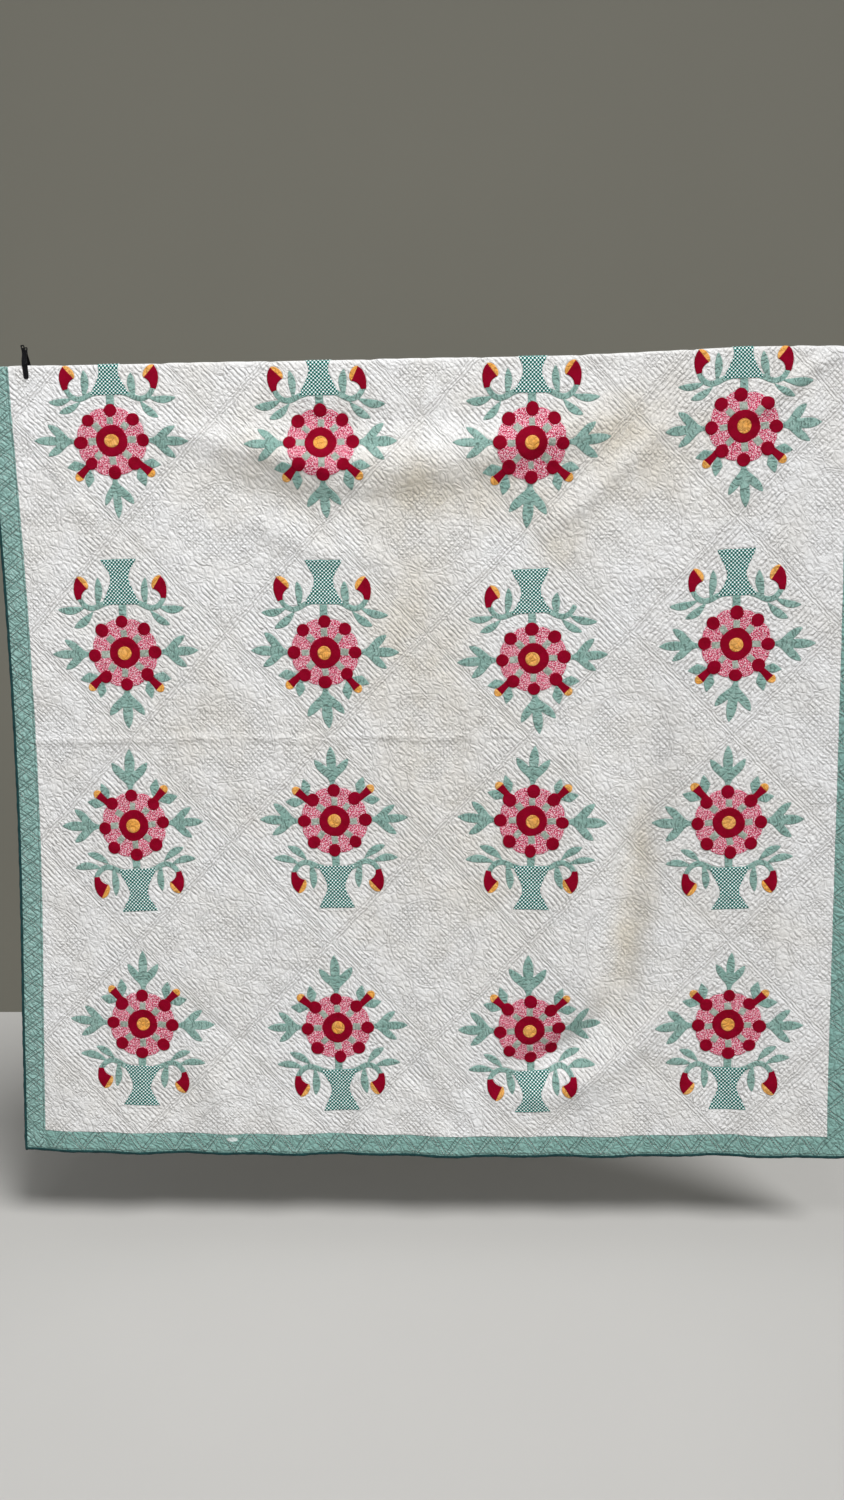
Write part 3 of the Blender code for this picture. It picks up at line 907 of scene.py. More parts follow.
spots = np.vstack(outlines)
outline_tree = kdtree.KDTree(len(spots))
for number, (x, y) in enumerate(spots):
    outline_tree.insert((x, y, 0), number)
outline_tree.balance()
u, v = (grid.ravel() for grid in np.meshgrid(field_columns, field_rows, indexing="ij"))
distance = np.array([outline_tree.find((x, y, 0))[2] for x, y in zip(u, v, strict=True)])
for outline in outlines:
    low, high = outline.min(0), outline.max(0)
    near = np.flatnonzero((u > low[0]) & (u < high[0]) & (v > low[1]) & (v < high[1]))
    covered = near[inside_outline(u[near], v[near], outline)]
    distance[covered] = -np.abs(distance[covered])
number_at_points(quilt_top, "edge", np.clip(distance, -0.02, 0.05))

# Where the cloth has aged: across, down, reach across, reach down, strength.
AGED = (
    (0.06, 0.29, 0.26, 0.07, 0.8),
    (0.32, 0.42, 0.05, 0.05, 0.7),
    (0.515, 1.20, 0.035, 0.17, 0.75),
    (0.475, 1.38, 0.035, 0.12, 0.70),
    (0.42, 1.50, 0.045, 0.08, 0.55),
    (-0.03, 0.62, 0.14, 0.30, 0.55),
    (0.42, 0.16, 0.16, 0.10, 0.6),
    (-0.32, 0.24, 0.20, 0.12, 0.45),
    (0.55, 0.25, 0.16, 0.16, 0.45),
    (0.10, 1.10, 0.40, 0.30, 0.30),
    (-0.55, 0.90, 0.16, 0.16, 0.30),
)
age = 0.12 + 0.10 * pucker(u, v, 0.21, 5) + 0.08 * pucker(u, v, 0.09, 6)
for a, b, wide, tall, strength in AGED:
    age = age + strength * np.exp(-(((u - a) / wide) ** 2) - ((v - b) / tall) ** 2)
number_at_points(quilt_top, "age", np.clip(age, 0, 1.2))
print("points near applique", int((distance < 0.01).sum()), "of", len(distance))

# %% [markdown]
# ## Cloth as shader maths
#
# The finest relief is left to the materials: rows of quilting a centimetre apart, puckers, weave. Each is a small
# node group that turns a flat place on the cloth, in metres, into a height in millimetres, so one group serves
# every cloth that has that stitching.

# %% Shader maths
class Wire:
    """A number in a node tree, so that shader maths reads like ordinary maths."""

    def __init__(self, tree, socket):
        self.tree = tree
        self.socket = socket

    def maths(self, operation, *others):
        node = self.tree.nodes.new("ShaderNodeMath")
        node.operation = operation
        for entry, value in zip(node.inputs, (self, *others), strict=False):
            feed(self.tree, entry, value)
        return Wire(self.tree, node.outputs[0])

    def __add__(self, other):
        return self.maths("ADD", other)

    def __sub__(self, other):
        return self.maths("SUBTRACT", other)

    def __mul__(self, other):
        return self.maths("MULTIPLY", other)

    def __truediv__(self, other):
        return self.maths("DIVIDE", other)

    def most(self, *others):
        """The largest of this number and the others."""
        largest = self
        for other in others:
            largest = largest.maths("MAXIMUM", other)
        return largest

    def rest(self):
        """What is left of one."""
        return (self * -1) + 1

    def nearest(self, step):
        """Distance to the nearest whole multiple of step."""
        return self.maths("PINGPONG", step / 2)

    def ramp(self, low, high, start=0.0, end=1.0, shape="SMOOTHSTEP"):
        node = self.tree.nodes.new("ShaderNodeMapRange")
        node.interpolation_type = shape
        for entry, value in zip(node.inputs, (self, low, high, start, end), strict=False):
            feed(self.tree, entry, value)
        return Wire(self.tree, node.outputs[0])

    def groove(self, width):
        """One on a line and nothing a width away from it, where this number is the distance to the line."""
        return self.maths("ABSOLUTE").ramp(0.0, width, 1.0, 0.0)


def feed(tree, entry, value):
    if isinstance(value, Wire):
        tree.links.new(value.socket, entry)
    else:
        entry.default_value = value


def node(tree, kind, output=0, settings=(), **inputs):
    """A node with these settings and inputs, as a wire from one of its outputs."""
    made = tree.nodes.new(kind)
    for name, value in dict(settings).items():
        setattr(made, name, value)
    for name, value in inputs.items():
        feed(tree, made.inputs[name.replace("_", " ")], value)
    return Wire(tree, made.outputs[output])


def new_group(name, entries, results):
    """An empty shader group and a wire from each of its inputs."""
    tree = bpy.data.node_groups.new(name, "ShaderNodeTree")
    for label, kind, value in entries:
        entry = tree.interface.new_socket(label, in_out="INPUT", socket_type=kind)
        if value is not None:
            entry.default_value = value
    for label in results:
        tree.interface.new_socket(label, in_out="OUTPUT", socket_type="NodeSocketFloat")
    start = tree.nodes.new("NodeGroupInput")
    return tree, {label: Wire(tree, start.outputs[label]) for label, *_ in entries}


def close_group(tree, **results):
    end = tree.nodes.new("NodeGroupOutput")
    for label, wire in results.items():
        tree.links.new(wire.socket, end.inputs[label])
    print("group", tree.name, len(tree.nodes), "nodes")


def parts_of(tree, vector):
    split = tree.nodes.new("ShaderNodeSeparateXYZ")
    tree.links.new(vector.socket, split.inputs[0])
    return Wire(tree, split.outputs[0]), Wire(tree, split.outputs[1])


def joined(tree, x, y, z=0.0):
    return node(tree, "ShaderNodeCombineXYZ", X=x, Y=y, Z=z)


# %% Group: washed cloth
washed, given = new_group(
    "Washed Cloth",
    (("Flat", "NodeSocketVector", None), ("Pucker", "NodeSocketFloat", 0.5), ("Weave", "NodeSocketFloat", 0.02)),
    ("Height", "Shade"),
)
noise = {"settings": {"noise_dimensions": "2D"}}
cells = {"settings": {"voronoi_dimensions": "2D"}}
edges = {"settings": {"voronoi_dimensions": "2D", "feature": "DISTANCE_TO_EDGE"}}
DIAGONAL = 0.7071


def wandered(tree, flat, scale, amount):
    """The flat place moved about a little, so that straight things drawn on it wander."""
    push = node(tree, "ShaderNodeTexNoise", 1, **noise, Vector=flat, Scale=scale, Detail=1.0)
    moved = node(tree, "ShaderNodeVectorMath", 0, {"operation": "MULTIPLY_ADD"})
    entries = moved.socket.node.inputs
    feed(tree, entries[0], push)
    entries[1].default_value = (amount, amount, 0)
    feed(tree, entries[2], flat)
    return moved


x, y = parts_of(washed, wandered(washed, given["Flat"], 45.0, 0.013))
down_right, up_right = (x + y) * DIAGONAL, (x - y) * DIAGONAL
broad_place = joined(washed, down_right / 0.0205, up_right / 0.0115)
broad = node(washed, "ShaderNodeTexVoronoi", 0, **edges, Vector=broad_place, Scale=1.0)
narrow_place = joined(washed, up_right / 0.0120 + 7.3, down_right / 0.0068)
narrow = node(washed, "ShaderNodeTexVoronoi", 0, **edges, Vector=narrow_place, Scale=1.0)
some = node(washed, "ShaderNodeTexNoise", **noise, Vector=given["Flat"], Scale=27.0, Detail=1.0)
some = some.ramp(0.38, 0.58, 0.60, 1.0)
small = node(washed, "ShaderNodeTexNoise", **noise, Vector=given["Flat"], Scale=230.0, Detail=2.0, Roughness=0.6)
swell = node(washed, "ShaderNodeTexNoise", **noise, Vector=given["Flat"], Scale=45.0, Detail=2.0)
warp = node(washed, "ShaderNodeTexWave", 1, {"bands_direction": "X"}, Vector=given["Flat"], Scale=320.0, Distortion=0.4)
weft = node(washed, "ShaderNodeTexWave", 1, {"bands_direction": "Y"}, Vector=given["Flat"], Scale=320.0, Distortion=0.4)
pillows = broad.ramp(0.0, 0.42) * some * 1.45 + narrow.ramp(0.0, 0.28) * 0.40
height = (pillows + small * 0.4 + swell * 1.3) * given["Pucker"] + (warp + weft) * given["Weave"]
# The creases between the puckers, given out as Shade: the cloths darken their colour there as painted shade.
crease_shade_mask = (broad.ramp(0.0, 0.12, 1.0, 0.0) * some).most(narrow.ramp(0.0, 0.13, 1.0, 0.0) * 0.35)
close_group(washed, Height=height, Shade=crease_shade_mask)

# %% [markdown]
# ### The quilting of the white ground
#
# Each block seam has a line of stitches on it and one on either side. Slanting rows a centimetre apart fill the
# flower blocks, and washing has puckered the cloth between them into small pillows. Every plain block holds a
# feather wreath with a double spine, and small diamonds inside it.

# %% Group: quilting of the ground
SEAM_ROW = 0.0070  # from a seam to the row of stitches on either side of it
SEAM_CLEAR = 0.0078  # nearer than this to a seam, no other line is stitched
FILL_STEP = SEAM_STEP / 35
DIAMOND = 0.0095
PILLOW = 0.0150
SPINES = (0.0850, 0.0915)

quilting, given = new_group(
    "Ground Quilting",
    (("Flat", "NodeSocketVector", None), ("Edge", "NodeSocketFloat", 0.05)),
    ("Height", "Line"),
)
x, y = parts_of(quilting, wandered(quilting, wandered(quilting, given["Flat"], 24.0, 0.005), 75.0, 0.0035))
p = x / PITCH_ACROSS
q = (y - MIDDLE) / PITCH_DOWN
falling = (p - q - 0.5) * SEAM_STEP
rising = (p + q - 0.5) * SEAM_STEP
seam = falling.nearest(SEAM_STEP).maths("MINIMUM", rising.nearest(SEAM_STEP))
seam_lines = seam.groove(0.0020).most((seam - SEAM_ROW).groove(0.0021))
seam_ridge = (seam - 0.0036).groove(0.0028)
px = p - p.maths("ROUND")
qy = q - q.maths("ROUND")
plain = (px.maths("ABSOLUTE") + qy.maths("ABSOLUTE")).maths("LESS_THAN", 0.5)
# The rows of the right-hand blocks slant the other way.
turned_rows = (p.maths("GREATER_THAN", 1.0) * plain.rest()).most(p.maths("GREATER_THAN", 1.5))
over = falling * turned_rows.rest() + rising * turned_rows
along = rising * turned_rows.rest() + falling * turned_rows
fill = over.nearest(FILL_STEP) / (FILL_STEP / 2)
row = (over / FILL_STEP).maths("FLOOR")
pillow_place = joined(quilting, row * 7.3, along / PILLOW)
pillow = node(quilting, "ShaderNodeTexVoronoi", 0, **edges, Vector=pillow_place, Scale=1.0).ramp(0.0, 0.30)
cross = rising.nearest(DIAMOND).maths("MINIMUM", falling.nearest(DIAMOND)) / (DIAMOND / 2)
drawn = node(quilting, "ShaderNodeTexNoise", **noise, Vector=given["Flat"], Scale=9.0, Detail=1.0)
radius = (px * PITCH_ACROSS).maths("POWER", 2.0) + (qy * PITCH_DOWN).maths("POWER", 2.0)
radius = radius.maths("SQRT") * WREATH_SCALE + (drawn - 0.5) * 0.030
turn = (qy * PITCH_DOWN).maths("ARCTAN2", px * PITCH_ACROSS)
feather_turn = (turn + (radius - 0.09) * FEATHER_TWIST).nearest(math.pi / 6)
reach = feather_turn.ramp(0.0, math.pi / 12, 0.112, 0.131)
feather = (feather_turn * radius).groove(0.0028) * radius.ramp(0.090, 0.094)
feather = feather * (radius - reach).ramp(0.0, 0.003, 1.0, 0.0)
spines = (radius - SPINES[0]).groove(0.0024).most((radius - SPINES[1]).groove(0.0024))
wreath = spines.most(feather, (radius - reach).groove(0.0024)) * plain
inner = plain * radius.ramp(0.082, 0.084, 1.0, 0.0)
ring = plain * radius.ramp(0.082, 0.084) * (radius - reach).ramp(0.0, 0.004, 1.0, 0.0)
clear = given["Edge"].ramp(0.003, 0.007) * (seam - SEAM_CLEAR).ramp(0.0005, 0.003)
outer = ring.rest() * inner.rest()
# In parts of the plain blocks the rows cross, as they do inside the wreath.
crossed = node(quilting, "ShaderNodeTexNoise", **noise, Vector=given["Flat"], Scale=7.0, Detail=0.0)
crossed = (crossed.ramp(0.44, 0.50) * plain).most(inner) * ring.rest()
outer = outer * crossed.rest()
rows = (fill.ramp(0.0, 0.44, 1.0, 0.0) * outer).most(cross.ramp(0.0, 0.44, 1.0, 0.0) * crossed) * clear
patchy = node(quilting, "ShaderNodeTexNoise", **noise, Vector=given["Flat"], Scale=13.0, Detail=1.0)
patchy = patchy.ramp(0.40, 0.60, 0.50, 1.0)
around = (given["Edge"] - 0.0006).groove(0.0030)
echo = (given["Edge"] - 0.0098).groove(0.0024) * patchy * (seam - SEAM_CLEAR).ramp(0.0, 0.003)
# The crease where the quilt has lain folded in store: broken, and deepest just under its ridge, where its line in the
# colour is painted shadow.
worn = node(quilting, "ShaderNodeTexNoise", **noise, Vector=given["Flat"], Scale=16.0, Detail=2.0)
stored = (y + (drawn - 0.5) * 0.014 - STORED - 0.0045).groove(0.0050) * x.ramp(0.10, 0.50, 1.0, 0.15)
stored = stored * worn.ramp(0.40, 0.56, 0.1, 1.0)
# The line output: the rows, seams, wreath, patch edges, echo lines and stored crease, with a faint tone over the
# wreath's band, all darkened in the colour as painted shade.
line = (rows * patchy * 0.85).most(seam_lines, wreath * patchy * 0.8, around * 0.6, ring * 0.22, echo * 0.7, stored)
dome = fill.rest().maths("POWER", 2.0) * outer + cross.rest().maths("POWER", 2.0) * crossed
height = dome * clear * patchy * -1.65 + pillow * fill.ramp(0.0, 0.7) * outer * clear * 0.75
height = height - seam_lines * 0.85 + seam_ridge * 0.60 - wreath * patchy * 0.9
height = height - around * 0.7 - echo * 0.6 - stored * 0.9
close_group(quilting, Height=height, Line=line)

# %% Group: zigzags of the border
ROW_GAP = 0.0043  # from the middle of a zigzag to the row on either side of it
ZIGZAG_SLOPE = BORDER / ZIGZAG
ZIGZAG_LEAN = math.cos(math.atan(ZIGZAG_SLOPE))

zigzags, given = new_group("Border Zigzags", (("Flat", "NodeSocketVector", None),), ("Height", "Line", "Spot"))
x, y = parts_of(zigzags, wandered(zigzags, wandered(zigzags, given["Flat"], 22.0, 0.006), 70.0, 0.003))
side = x.maths("ABSOLUTE") - HALF_WIDTH
end = (y - BOTTOM).most((y * -1) + TOP)
inward = side.most(end)
upright_strip = side.maths("GREATER_THAN", end)
along = y * upright_strip + x * upright_strip.rest()
first = (along.nearest(2 * ZIGZAG) * ZIGZAG_SLOPE - inward) * ZIGZAG_LEAN
second = ((along + ZIGZAG).nearest(2 * ZIGZAG) * ZIGZAG_SLOPE - inward) * ZIGZAG_LEAN
left = x.maths("LESS_THAN", -HALF_WIDTH)
lines = (first.maths("ABSOLUTE") - ROW_GAP).groove(0.0021)
lines = lines.most((second.maths("ABSOLUTE") - ROW_GAP).groove(0.0021) * left)
seams = inward.groove(0.0030).most((inward - BORDER).groove(0.0030))
# A small white mark near the left end of the lower strip.
spot_x, spot_y = (x + 0.491) / 0.0125, (y - (BOTTOM + 0.018)) / 0.0065
spot = (spot_x * spot_x + spot_y * spot_y).ramp(0.7, 1.2, 1.0, 0.0)
# The line output marks the stitched grooves and the seams, which the aqua colour darkens as painted shade.
close_group(zigzags, Height=lines * -1.2 - seams * 0.8, Line=lines.most(seams * 0.8), Spot=spot)

# %% [markdown]
# ### One recipe for every cloth
#
# Cotton scatters light softly and has a faint nap, so each cloth is rough, with a little sheen. Dye varies within
# a cloth, wear pales it in patches, and its creases and stitched lines are darkened in the colour as painted shade.

# %% Cloth materials
def new_material(name):
    material = bpy.data.materials.new(name)
    material.use_nodes = True
    return material, material.node_tree, material.node_tree.nodes["Principled BSDF"]


def group_wire(tree, group, output, **inputs):
    made = node(tree, "ShaderNodeGroup", 0, {"node_tree": group})
    owner = made.socket.node
    for name, value in inputs.items():
        feed(tree, owner.inputs[name], value)
    return Wire(tree, owner.outputs[output])


def number_of(tree, name):
    return node(tree, "ShaderNodeAttribute", 2, {"attribute_name": name})


def blended(tree, part, low, high, mode="MIX"):
    """Two colours, or wires of colour, blended by part."""
    mix = tree.nodes.new("ShaderNodeMix")
    mix.data_type = "RGBA"
    mix.blend_type = mode
    feed(tree, mix.inputs["Factor"], part)
    for entry, value in ((mix.inputs["A"], low), (mix.inputs["B"], high)):
        if isinstance(value, Wire):
            tree.links.new(value.socket, entry)
        else:
            entry.default_value = (*value, 1)
    # The first two results are a number and a vector; the third is the colour.
    return Wire(tree, mix.outputs[2])


def finish_cloth(tree, shader, colour, height, roughness, sheen=0.15, gloss=0.15):
    tree.links.new(colour.socket, shader.inputs["Base Color"])
    shader.inputs["Sheen Weight"].default_value = sheen
    shader.inputs["Sheen Roughness"].default_value = 0.6
    shader.inputs["Specular IOR Level"].default_value = gloss
    tree.links.new(roughness.socket, shader.inputs["Roughness"])
    bump = node(tree, "ShaderNodeBump", Strength=1.0, Distance=0.001, Height=height)
    tree.links.new(bump.socket, shader.inputs["Normal"])


def flat_place(tree):
    return node(tree, "ShaderNodeUVMap", 0, {"uv_map": "Flat"})


def plain_cloth(name, colour, worn, pucker=0.35, weave=0.03, border=False, wrinkles=0.0, sheen=0.15, gloss=0.15):
    """A dyed cotton: its colour, its worn colour and its relief."""
    material, tree, shader = new_material(name)
    flat = flat_place(tree)
    height = group_wire(tree, washed, "Height", Flat=flat, Pucker=pucker, Weave=weave)
    painted_crease_shade = group_wire(tree, washed, "Shade", Flat=flat)
    cloud = node(tree, "ShaderNodeTexNoise", **noise, Vector=flat, Scale=38.0, Detail=3.0, Roughness=0.6)
    tone = number_of(tree, "tone")
    part = cloud.ramp(0.3, 0.75, 0.0, 0.75) + tone * 0.25
    shade = blended(tree, part, colour, worn)
    thread = node(tree, "ShaderNodeTexNoise", **noise, Vector=flat, Scale=900.0, Detail=1.0)
    shade = blended(tree, 0.10, shade, thread, "OVERLAY")
    # A darker copy of the colour, laid as painted shade into the creases, the wrinkles and the border's stitched lines.
    painted_shade = tuple(0.45 * channel for channel in colour)
    shade = blended(tree, painted_crease_shade * min(0.7, 0.6 * pucker), shade, painted_shade)
    if wrinkles:
        along = number_of(tree, "along")
        bend = node(tree, "ShaderNodeTexNoise", **noise, Vector=flat, Scale=75.0, Detail=1.0)
        few = node(tree, "ShaderNodeTexNoise", **noise, Vector=flat, Scale=85.0, Detail=0.0).ramp(0.36, 0.60, 0.0, 1.0)
        # Each wrinkle is sunk in the relief and darkened in the colour as painted shade.
        crease = (along + bend * 0.014).nearest(0.0090).groove(0.0027) * few
        shade = blended(tree, crease * 0.70, shade, painted_shade)
        height = height - crease * wrinkles
    if border:
        # The border's quilting grooves and seams are darkened as painted shade.
        line = group_wire(tree, zigzags, "Line", Flat=flat)
        shade = blended(tree, line, shade, painted_shade)
        height = height + group_wire(tree, zigzags, "Height", Flat=flat)
        shade = blended(tree, group_wire(tree, zigzags, "Spot", Flat=flat), shade, (0.72, 0.80, 0.78))
    rough = cloud.ramp(0.3, 0.7, 0.82, 0.94)
    finish_cloth(tree, shader, shade, height, rough, sheen, gloss)
    return material


def quilted_cotton(name, front=True):
    """The white cotton, with its quilting. The front has the applique's edges and its age as numbers."""
    material, tree, shader = new_material(name)
    flat = flat_place(tree)
    height = group_wire(tree, washed, "Height", Flat=flat, Pucker=1.20 if front else 0.6, Weave=0.03)
    painted_crease_shade = group_wire(tree, washed, "Shade", Flat=flat)
    edge = number_of(tree, "edge") if front else 0.05
    lines = {"Flat": flat, "Edge": edge}
    height = height + group_wire(tree, quilting, "Height", **lines)
    line = group_wire(tree, quilting, "Line", **lines)
    cloud = node(tree, "ShaderNodeTexNoise", **noise, Vector=flat, Scale=9.0, Detail=3.0, Roughness=0.6)
    shade = blended(tree, cloud.ramp(0.35, 0.70), (0.935, 0.935, 0.938), (0.905, 0.900, 0.892))
    if front:
        age = number_of(tree, "age") * cloud.ramp(0.2, 0.8, 0.6, 1.15)
        shade = blended(tree, age.ramp(0.0, 1.1, 0.0, 1.0, "LINEAR"), shade, (0.76, 0.70, 0.59))
    # The quilting lines and the creases between the puckers are darkened in the colour as painted shade.
    shade = blended(tree, line * 0.42, shade, (0.35, 0.33, 0.305))
    shade = blended(tree, painted_crease_shade * 0.34, shade, (0.37, 0.35, 0.335))
    rough = cloud.ramp(0.3, 0.7, 0.84, 0.95)
    finish_cloth(tree, shader, shade, height, rough)
    return material


white = quilted_cotton("quilted_cotton_front")
white_back = quilted_cotton("quilted_cotton_back", front=False)
aqua = plain_cloth("aqua_cotton_quilted", (0.250, 0.455, 0.408), (0.352, 0.575, 0.530), 1.7, border=True)
teal = plain_cloth("teal_binding_cloth", (0.006, 0.040, 0.042), (0.016, 0.075, 0.075), 0.4, sheen=0.05)
leaf_green = plain_cloth("leaf_green_cotton", (0.245, 0.425, 0.372), (0.340, 0.515, 0.462), 0.85, wrinkles=1.5)
crimson = plain_cloth("crimson_cotton", (0.240, 0.0008, 0.013), (0.300, 0.002, 0.022), 0.25, sheen=0.0, gloss=0.05)
yellow = plain_cloth("yellow_cotton", (0.90, 0.39, 0.064), (0.93, 0.49, 0.15), 1.4, sheen=0.05)
grey_green = plain_cloth("grey_green_cotton", (0.36, 0.42, 0.345), (0.50, 0.55, 0.49), 1.1, sheen=0.05)
print("cotton materials", len(bpy.data.materials))

# %% [markdown]
# ### Printed and woven patterns
#
# The rosettes are a pink calico, a small all-over print of white and rose sprigs. The vases are a dark green and
# white gingham, cut on the bias: two sets of stripes cross, and the cloth is darkest where both are green.

# %% Calico and gingham
calico, tree, shader = new_material("pink_calico")
flat = flat_place(tree)
height = group_wire(tree, washed, "Height", Flat=flat, Pucker=0.5, Weave=0.03)
shifted = wandered(tree, flat, 220.0, 0.004)
sprigs = node(tree, "ShaderNodeTexVoronoi", 0, **cells, Vector=shifted, Scale=290.0)
flecks = node(tree, "ShaderNodeTexNoise", **noise, Vector=shifted, Scale=310.0, Detail=1.0)
shade = blended(tree, flecks.ramp(0.48, 0.55), (0.73, 0.130, 0.225), (0.42, 0.008, 0.052))
shade = blended(tree, sprigs.ramp(0.22, 0.34, 1.0, 0.0), shade, (0.98, 0.80, 0.84))
finish_cloth(tree, shader, shade, height, flecks.ramp(0.3, 0.7, 0.84, 0.94), 0.05)

gingham, tree, shader = new_material("green_gingham")
flat = flat_place(tree)
height = group_wire(tree, washed, "Height", Flat=flat, Pucker=0.35, Weave=0.03)
x, y = parts_of(tree, wandered(tree, flat, 60.0, 0.003))
STRIPE = 0.0031
one = ((x + y) * DIAGONAL).nearest(2 * STRIPE) / STRIPE
other = ((x - y) * DIAGONAL).nearest(2 * STRIPE) / STRIPE
paler = one.most(other).ramp(0.54, 0.62)
darker = one.maths("MINIMUM", other).ramp(0.32, 0.40)
woven = (paler + darker) / 2
shade = blended(tree, paler, (0.97, 0.98, 0.97), (0.025, 0.380, 0.325))
shade = blended(tree, darker, shade, (0.001, 0.045, 0.036))
finish_cloth(tree, shader, shade, height, woven.ramp(0.0, 1.0, 0.84, 0.92), 0.05)

CLOTH_OF = {
    "branches": leaf_green,
    "leaves": leaf_green,
    "sprays": leaf_green,
    "stalks": leaf_green,
    "vases": gingham,
    "stems": crimson,
    "buds": crimson,
    "ends": yellow,
    "rosettes": calico,
    "dots": crimson,
    "squares": grey_green,
    "discs": crimson,
    "centres": yellow,
}
for name, piece in applique.items():
    piece.data.materials.append(CLOTH_OF[name])
quilt_top.data.materials.append(white)
back.data.materials.append(white_back)
# The left strip leans to the paler colour of the aqua cloth, the right and the lower strip to the darker one.
for strip, paler_by in zip(borders, (1.7, -1.6, -1.4, 0.0), strict=True):
    number_at_points(strip, "tone", np.full(len(strip.data.vertices), paler_by))
for strip in borders:
    strip.data.materials.append(aqua)
for strip in bindings:
    strip.data.materials.append(teal)

# %% [markdown]
# ## Stitches
#
# Running stitches are laid one by one along the seam lines and the border zigzags. A Geometry Nodes group puts
# a small rounded stitch on each marked place, turned along its line and lying on the cloth.

# %% One stitch and its node group
def stitch_mesh(name, length, width):
    """A low, rounded stitch that dips into the cloth at both ends."""
    rings = ((-0.5, 0.15, -0.4), (-0.28, 0.9, 0.45), (0.28, 0.9, 0.45), (0.5, 0.15, -0.4))
    points, faces = [], []
    for along, half, high in rings:
        points += [(along * length, -half * width / 2, -0.2 * width), (along * length, half * width / 2, -0.2 * width)]
        points.append((along * length, 0, high * width))
    for k in range(3):
        low, high = 3 * k, 3 * k + 3
        faces += [(low + 1, low + 2, high + 2, high + 1), (low + 2, low, high, high + 2)]
    data = bpy.data.meshes.new(name)
    data.from_pydata(points, [], faces)
    data.polygons.foreach_set("use_smooth", [True] * len(faces))
    return placed(name, data)


def stitch_group():
    """Geometry Nodes: a stitch on every point, turned by the point's own run and away vectors."""
    tree = bpy.data.node_groups.new("Running Stitches", "GeometryNodeTree")
    for label, kind in (
        ("Places", "NodeSocketGeometry"),
        ("Stitch", "NodeSocketObject"),
        ("Thread", "NodeSocketMaterial"),
        ("Unevenness", "NodeSocketFloat"),
        ("Seed", "NodeSocketInt"),
    ):
        tree.interface.new_socket(label, in_out="INPUT", socket_type=kind)
    tree.interface.new_socket("Stitches", in_out="OUTPUT", socket_type="NodeSocketGeometry")
    nodes, links = tree.nodes, tree.links
    start, end = nodes.new("NodeGroupInput"), nodes.new("NodeGroupOutput")
    stitch = nodes.new("GeometryNodeObjectInfo")
    links.new(start.outputs["Stitch"], stitch.inputs["Object"])
    turns = []
    for name, axis in (("run", "X"), ("away", "Z")):
        vector = nodes.new("GeometryNodeInputNamedAttribute")
        vector.data_type = "FLOAT_VECTOR"
        vector.inputs["Name"].default_value = name
        turn = nodes.new("FunctionNodeAlignRotationToVector")
        turn.axis = axis
        if turns:
            turn.pivot_axis = "X"
            links.new(turns[-1].outputs[0], turn.inputs["Rotation"])
        links.new(vector.outputs["Attribute"], turn.inputs["Vector"])
        turns.append(turn)
    size = nodes.new("FunctionNodeRandomValue")
    size.data_type = "FLOAT"
    least, most = nodes.new("ShaderNodeMath"), nodes.new("ShaderNodeMath")
    least.operation, most.operation = "SUBTRACT", "ADD"
    for bound, entry in ((least, "Min"), (most, "Max")):
        bound.inputs[0].default_value = 1.0
        links.new(start.outputs["Unevenness"], bound.inputs[1])
        target = next(s for s in size.inputs if s.name == entry and s.type == "VALUE" and s.enabled)
        links.new(bound.outputs[0], target)
    links.new(start.outputs["Seed"], size.inputs["Seed"])
    lay = nodes.new("GeometryNodeInstanceOnPoints")
    links.new(start.outputs["Places"], lay.inputs["Points"])
    links.new(stitch.outputs["Geometry"], lay.inputs["Instance"])
    links.new(turns[-1].outputs[0], lay.inputs["Rotation"])
    links.new(next(s for s in size.outputs if s.enabled), lay.inputs["Scale"])
    real = nodes.new("GeometryNodeRealizeInstances")
    links.new(lay.outputs[0], real.inputs[0])
    thread = nodes.new("GeometryNodeSetMaterial")
    links.new(real.outputs[0], thread.inputs["Geometry"])
    links.new(start.outputs["Thread"], thread.inputs["Material"])
    links.new(thread.outputs[0], end.inputs[0])
    return tree


running_stitches = stitch_group()


# %% Thread
def thread_material(name, colour, worn):
    material, tree, shader = new_material(name)
    place = node(tree, "ShaderNodeTexCoord", 3)
    twist = node(tree, "ShaderNodeTexNoise", Vector=place, Scale=900.0, Detail=1.0)
    shade = blended(tree, twist, colour, worn)
    finish_cloth(tree, shader, shade, twist * 0.15, twist.ramp(0.3, 0.7, 0.6, 0.8), 0.2)
    return material


white_thread = thread_material("white_thread", (0.80, 0.79, 0.76), (0.66, 0.64, 0.60))
STITCH_STEP = 0.0058
stitch = stitch_mesh("one_stitch", 0.0032, 0.0009)
stitch.hide_render = True


def on_line(start, end, step=STITCH_STEP):
    """Places a stitch apart on a straight flat line, and the line's direction at each."""
    start, end = np.array(start), np.array(end)
    length = np.hypot(*(end - start))
    count = max(1, int(length / step))
    part = (np.arange(count) + 0.5) / count
    return start + (end - start) * part[:, None], np.repeat([(end - start) / length], count, 0)


